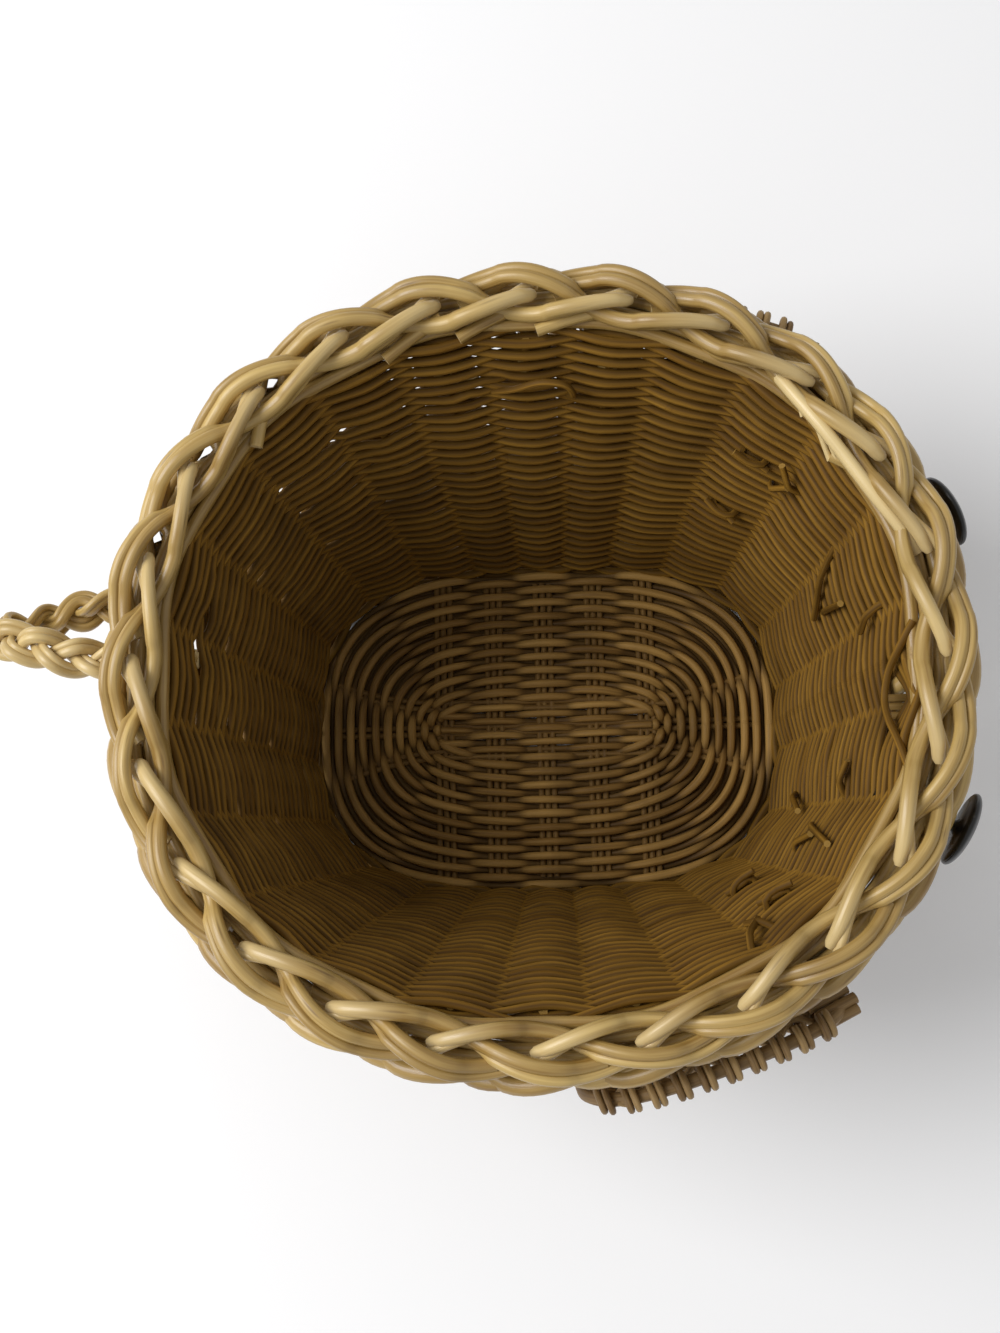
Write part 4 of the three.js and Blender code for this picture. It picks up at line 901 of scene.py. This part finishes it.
def plaitRods(path, own, root, end):  # own is the settings of the trunk or the tail
    s, length = plaitSettings, pathLength(path) / mm
    touch = 2 * own["radius"] + s["gap"]
    swing, rise = own["spread"] * touch * s["swing"], own["spread"] * touch * s["rise"]
    rootSwing, blend = touch / sqrt(3), own["pitch"] * s["opening"]
    plaited = length - root - end - 2 * blend
    turns = round(plaited / own["pitch"])
    frames, rods = carriedSides(path, Vector((0, 1, 0))), []
    for strand in range(3):
        points = []
        for i, p in enumerate(path):
            along = length * i / (len(path) - 1)
            share = unit((along - root - blend) / plaited)
            width = min(ease((along - root) / blend), ease((length - along - end) / blend))
            phase = pi / 6 + share * turns * fullTurn + strand * fullTurn / 3
            aside, over = frames[i]
            points.append(p + (aside * (rootSwing + (swing - rootSwing) * width) * sin(phase)
                               + over * (rootSwing + (rise - rootSwing) * width) * sin(2 * phase)) * mm)
        rods.append(points)
    return rods


trunkSettings = {
    "at": -7.5, "rootZ": 117.5, "radius": 2.2, "pitch": 44, "spread": 1.12, "stub": -2.3, "bend": 13,
    "rootRod": 1.15, "rootGap": 2.3, "rootRun": 16, "rootBlend": 8, "rootLift": 4.2, "rootPaintedShade": 0.6,
    "dimRun": 30, "hang": 56, "curl": 19, "lift": 20, "tuft": 7, "binding": 5, "seed": 51,
    "coilTurns": 3.4, "coilLong": 4.2, "coilWide": 6.2, "coilReed": 0.7,
}


def makeTrunk(s):
    a, pick = radians(s["at"]), random.Random(s["seed"])
    seat, inner = (wallPoint(a, s["rootZ"], out) / mm for out in (wallThick, 0))
    y, z = seat.y, s["rootZ"]
    points = [Vector((inner.x - s["stub"], y, z))]
    for i in range(5):
        b = i / 4 * pi / 2
        points.append(Vector((seat.x + s["bend"] * sin(b), y, z - s["bend"] * (1 - cos(b)))))
    hangX, hangZ = seat.x + s["bend"], z - s["bend"] - s["hang"]
    points.append(Vector((hangX, y, hangZ + s["hang"] / 2)))
    for i in range(9):
        b = i / 8 * radians(90 + s["lift"])
        points.append(Vector((hangX + s["curl"] * (1 - cos(b)), y, hangZ - s["curl"] * sin(b))))
    path = smoothPath([p * mm for p in points], 150)
    rods = plaitRods(path, s, s["stub"] + 10, s["tuft"] + s["binding"])
    length, reeds = pathLength(path) / mm, []
    for i, rod in enumerate(rods):  # at the root the rods are thin and lie side by side
        points, radii, dims = [], [], []
        for k, p in enumerate(rod):
            along = length * k / (len(rod) - 1)
            t = unit((s["rootRun"] - along) / s["rootBlend"])
            points.append(p.lerp(path[k] + Vector((0, (1 - i) * s["rootGap"], s["rootLift"])) * mm, t))
            radii.append(s["radius"] + (s["rootRod"] - s["radius"]) * t)
            # painted shade on the rods by the root, where they go into the side's hollow
            dims.append(s["rootPaintedShade"] * unit(2 - 2 * along / s["dimRun"]))
        reeds.append(reed(wobble(points, 0.25, 30, i), radii, pick.random(), dim=dims))
    # winding round the end
    middle = len(path) * (1 - (s["tuft"] + s["binding"] / 2) / length)
    centre, ahead = path[int(middle)], (path[int(middle) + 1] - path[int(middle) - 1]).normalized()
    aside = Vector((0, 1, 0))
    over = ahead.cross(aside)
    coil = []
    for i in range(90):
        b = fullTurn * s["coilTurns"] * i / 89
        ring = (aside * cos(b) + over * sin(b)) * s["coilWide"]
        coil.append(centre + (ahead * (i / 89 - 0.5) * s["coilLong"] + ring) * mm)
    reeds.append(reed(coil, s["coilReed"], 0.8))
    return reeds


trunkPlait = sweepReeds("trunkPlait", makeTrunk(trunkSettings), rimReed, 10)

tailSettings = {
    "at": 173, "rootZ": 117, "radius": 1.6, "pitch": 36, "spread": 0.92, "apart": 12.6, "length": 52,
    "width": 17, "stub": -3.5, "tilt": 7.5, "seed": 61, "rods": ((-0.4, 1.62), (1.6, 1.1)), "paintedLightArm": 0.85,
    "sweep": 3.4, "straight": 2,
    # along each arm: shares of the length, the width and the tilt
    "arm": ((0.23, 0.94, 0.5), (0.5, 1.06, 1), (0.77, 0.59, 1.2)),
}


def makeTail(s):
    a, pick = radians(s["at"]), random.Random(s["seed"])
    seat, inner = (wallPoint(a, s["rootZ"], out) / mm for out in (wallThick, 0))

    def arm(sign):
        steps = [(inner.x + s["stub"], s["apart"], 0), (seat.x - s["straight"], s["apart"], 0)]
        steps += [(seat.x - far * s["length"], wide * s["width"], high) for far, wide, high in s["arm"]]
        return [Vector((x, seat.y + sign * wide / 2 + aside(x), s["rootZ"] - sign * high * s["tilt"]))
                for x, wide, high in steps]

    def aside(x):  # the loop leans a little to one side
        t = unit(2 * (seat.x - x) / s["length"])
        return s["sweep"] * (1 - (1 - t) ** 2)

    points = arm(-1) + [Vector((seat.x - s["length"], seat.y + s["sweep"], s["rootZ"]))] + arm(1)[::-1]
    path = smoothPath([p * mm for p in points], 200)
    rods = plaitRods(path, s, s["stub"] + 9, s["stub"] + 9)
    reeds = []
    for i, rod in enumerate(rods):
        sides = carriedSides(rod, Vector((0, 1, 0.2)))
        for aside, radius in s["rods"]:
            beside = [p + pair[0] * aside * mm for p, pair in zip(rod, sides)]
            # painted light: the near arm, which catches the light, is painted paler, fading out towards the
            # end of the loop
            peel = [s["paintedLightArm"] * max(0.0, 1 - 2 * k / len(rod)) ** 0.5 for k in range(len(rod))]
            reeds.append(reed(wobble(beside, 0.2, 24, i + radius), radius, pick.random(), peel=peel))
    return reeds


tailPlait = sweepReeds("tailPlait", makeTail(tailSettings), rimReed, 10)

# Eyes: domed black buttons on a stem
eyeSettings = {
    "radius": 10.2, "dome": 3.8, "stem": 1.6, "standOff": 18.5, "barb": 4.4, "wallAt": 20, "facing": 27,
    "faceTurn": -1.3, "z": 121, "around": 64, "edge": 0.95, "barbRadius": 2.3,
    # back of the button: radius, height above its stand-off
    "back": ((2.4, -0.3), (7.6, -0.1), (9.4, 0.1), (10.0, 0.45)),
}


def eyeFinish():
    material, tree, shader = newFinish("blackGloss")
    ground = addNode(tree, "ShaderNodeTexCoord").outputs["Object"]
    dust, smear = noiseAt(tree, ground, 900.0, 4.0), noiseAt(tree, ground, 120.0, 2.0)
    rough = addNode(tree, "ShaderNodeMapRange", {0: smear, 1: 0.3, 2: 0.75, 3: 0.2, 4: 0.4})
    speck = addNode(tree, "ShaderNodeMapRange", {0: dust, 1: 0.62, 2: 0.75})
    tint = addNode(tree, "ShaderNodeMix", data_type="RGBA", links={
        0: speck.outputs[0], 6: (0.006, 0.006, 0.006, 1), 7: (0.03, 0.029, 0.027, 1)})
    tree.links.new(tint.outputs[2], shader.inputs["Base Color"])
    tree.links.new(rough.outputs[0], shader.inputs["Roughness"])
    return material


blackGloss = eyeFinish()


def makeEye(side, s):
    whole = s["barb"] + s["standOff"]
    profile = [(0.0, 0.0), (s["barbRadius"], 0.05), (s["barbRadius"], 1.0), (s["stem"], 2.4),
               (s["stem"], whole - 1.2)]
    profile += [(r, whole + h) for r, h in s["back"]] + [(s["radius"], whole + s["edge"])]
    for i in range(1, 15):
        b = i / 14 * pi / 2
        high = whole + s["edge"] + (s["dome"] - s["edge"]) * sin(b)
        profile.append((s["radius"] * cos(b), high))
    verts, faces, n = [], [], s["around"]
    for r, h in profile[1:-1]:
        verts += [(r * cos(fullTurn * k / n), r * sin(fullTurn * k / n), h) for k in range(n)]
    bottom, top = len(verts), len(verts) + 1
    verts += [(0, 0, profile[0][1]), (0, 0, profile[-1][1])]
    for j in range(len(profile) - 3):
        for k in range(n):
            a, b = j * n + k, j * n + (k + 1) % n
            faces.append((a, b, b + n, a + n))
    last = (len(profile) - 3) * n
    for k in range(n):
        faces.append((bottom, (k + 1) % n, k))
        faces.append((top, last + k, last + (k + 1) % n))
    name = ("left" if side > 0 else "right") + "Eye"
    mesh = bpy.data.meshes.new(name)
    mesh.from_pydata(verts, [], faces)
    look = radians(side * s["facing"] + s["faceTurn"])
    facing = Vector((cos(look), sin(look), 0))
    seat = wallPoint(radians(side * s["wallAt"] + s["faceTurn"]), s["z"], wallThick)
    start = seat - facing * s["barb"] * mm
    turn = facing.to_track_quat("Z", "Y").to_matrix().to_4x4()
    mesh.transform(Matrix.Translation(start) @ turn @ Matrix.Scale(mm, 4))
    mesh.shade_smooth()
    mesh.materials.append(blackGloss)
    return addObject(name, mesh)


eyes = {1: makeEye(1, eyeSettings), -1: makeEye(-1, eyeSettings)}
print("eyes made")

# What rides on what
numbered = lambda stem, count, form="{}": [stem + form.format(i + 1) for i in range(count)]
for piece, slotName, nodes in (
        (sideWeave, "brown_reed", ["side_weave"]),
        (sideStakes, "pale_reed", numbered("side_stake_", 24, "{:02d}")),
        (footWale, "brown_reed", ["foot_wale"]),
        (floorWeave, "brown_reed", ["base_weave"]),
        (floorSticks, "pale_reed", numbered("base_cross_sticks_", 5) + numbered("base_long_sticks_", 3)),
        (plaitedBorder, "golden_reed", numbered("border_strand_", 3)),
        (rimBends, "golden_reed", ["top_wale"]),
        (earTies, "pale_reed", [s + "_ear_tie_" + h for s in ("left", "right") for h in ("upper", "lower")]),
        (trunkPlait, "golden_reed", numbered("trunk_strand_", 3) + ["trunk_binding"]),
        (tailPlait, "golden_reed", numbered("tail_strand_", 3))):
    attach(piece, "basket")
    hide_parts(*nodes)
for side, sideName in ((1, "left"), (-1, "right")):
    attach(ears[side], sideName + "_ear")
    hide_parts(sideName + "_ear_hoop", sideName + "_ear_weave")
    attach(eyes[side], sideName + "_eye")
    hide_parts(sideName + "_eye")

# Studio: pale floor, soft light from the tail side, camera above the rim
studio = {
    "keyPower": 15.5, "keySize": 0.8, "keyAt": (-0.9, 0.08, 1.05), "world": 0.52,
    "ground": srgb(247, 247, 248), "groundSize": 6, "groundZ": -0.4 * mm, "groundRough": 0.9,
    "lookAt": (0, 0, 0.1), "sensor": 36, "lens": 40.51,
}
bpy.ops.mesh.primitive_plane_add(size=studio["groundSize"], location=(0, 0, studio["groundZ"]))
ground = bpy.context.object
ground.name = "paleFloor"
groundFinish, _, groundShader = newFinish("paleFloor")
groundShader.inputs["Base Color"].default_value = studio["ground"]
groundShader.inputs["Roughness"].default_value = studio["groundRough"]
ground.data.materials.append(groundFinish)

keyData = bpy.data.lights.new("keyLight", "AREA")
keyData.energy, keyData.size = studio["keyPower"], studio["keySize"]
keyLight = addObject("keyLight", keyData)
keyLight.location = studio["keyAt"]
keyAim = Vector(studio["lookAt"]) - keyLight.location
keyLight.rotation_euler = keyAim.to_track_quat("-Z", "Y").to_euler()
world = bpy.data.worlds.new("softRoom")
bpy.context.scene.world = world
world.use_nodes = True
sky = world.node_tree.nodes["Background"]
sky.inputs["Color"].default_value = (1, 1, 1, 1)
sky.inputs["Strength"].default_value = studio["world"]
bpy.context.scene.view_settings.view_transform = "Standard"

cameraData = bpy.data.cameras.new("camera")
cameraData.sensor_width, cameraData.lens, cameraData.clip_start = studio["sensor"], studio["lens"], 0.01
camera = addObject("camera", cameraData)
camera.matrix_world = Matrix((  # columns: right, up, back and the camera's place
    (0.99828, 0.0315, 0.0494, 0.010378), (-0.0225, 0.98465, -0.17309, -0.068497),
    (-0.0541, 0.17168, 0.98367, 0.519091), (0, 0, 0, 1)))
bpy.context.scene.camera = camera
print("studio set")
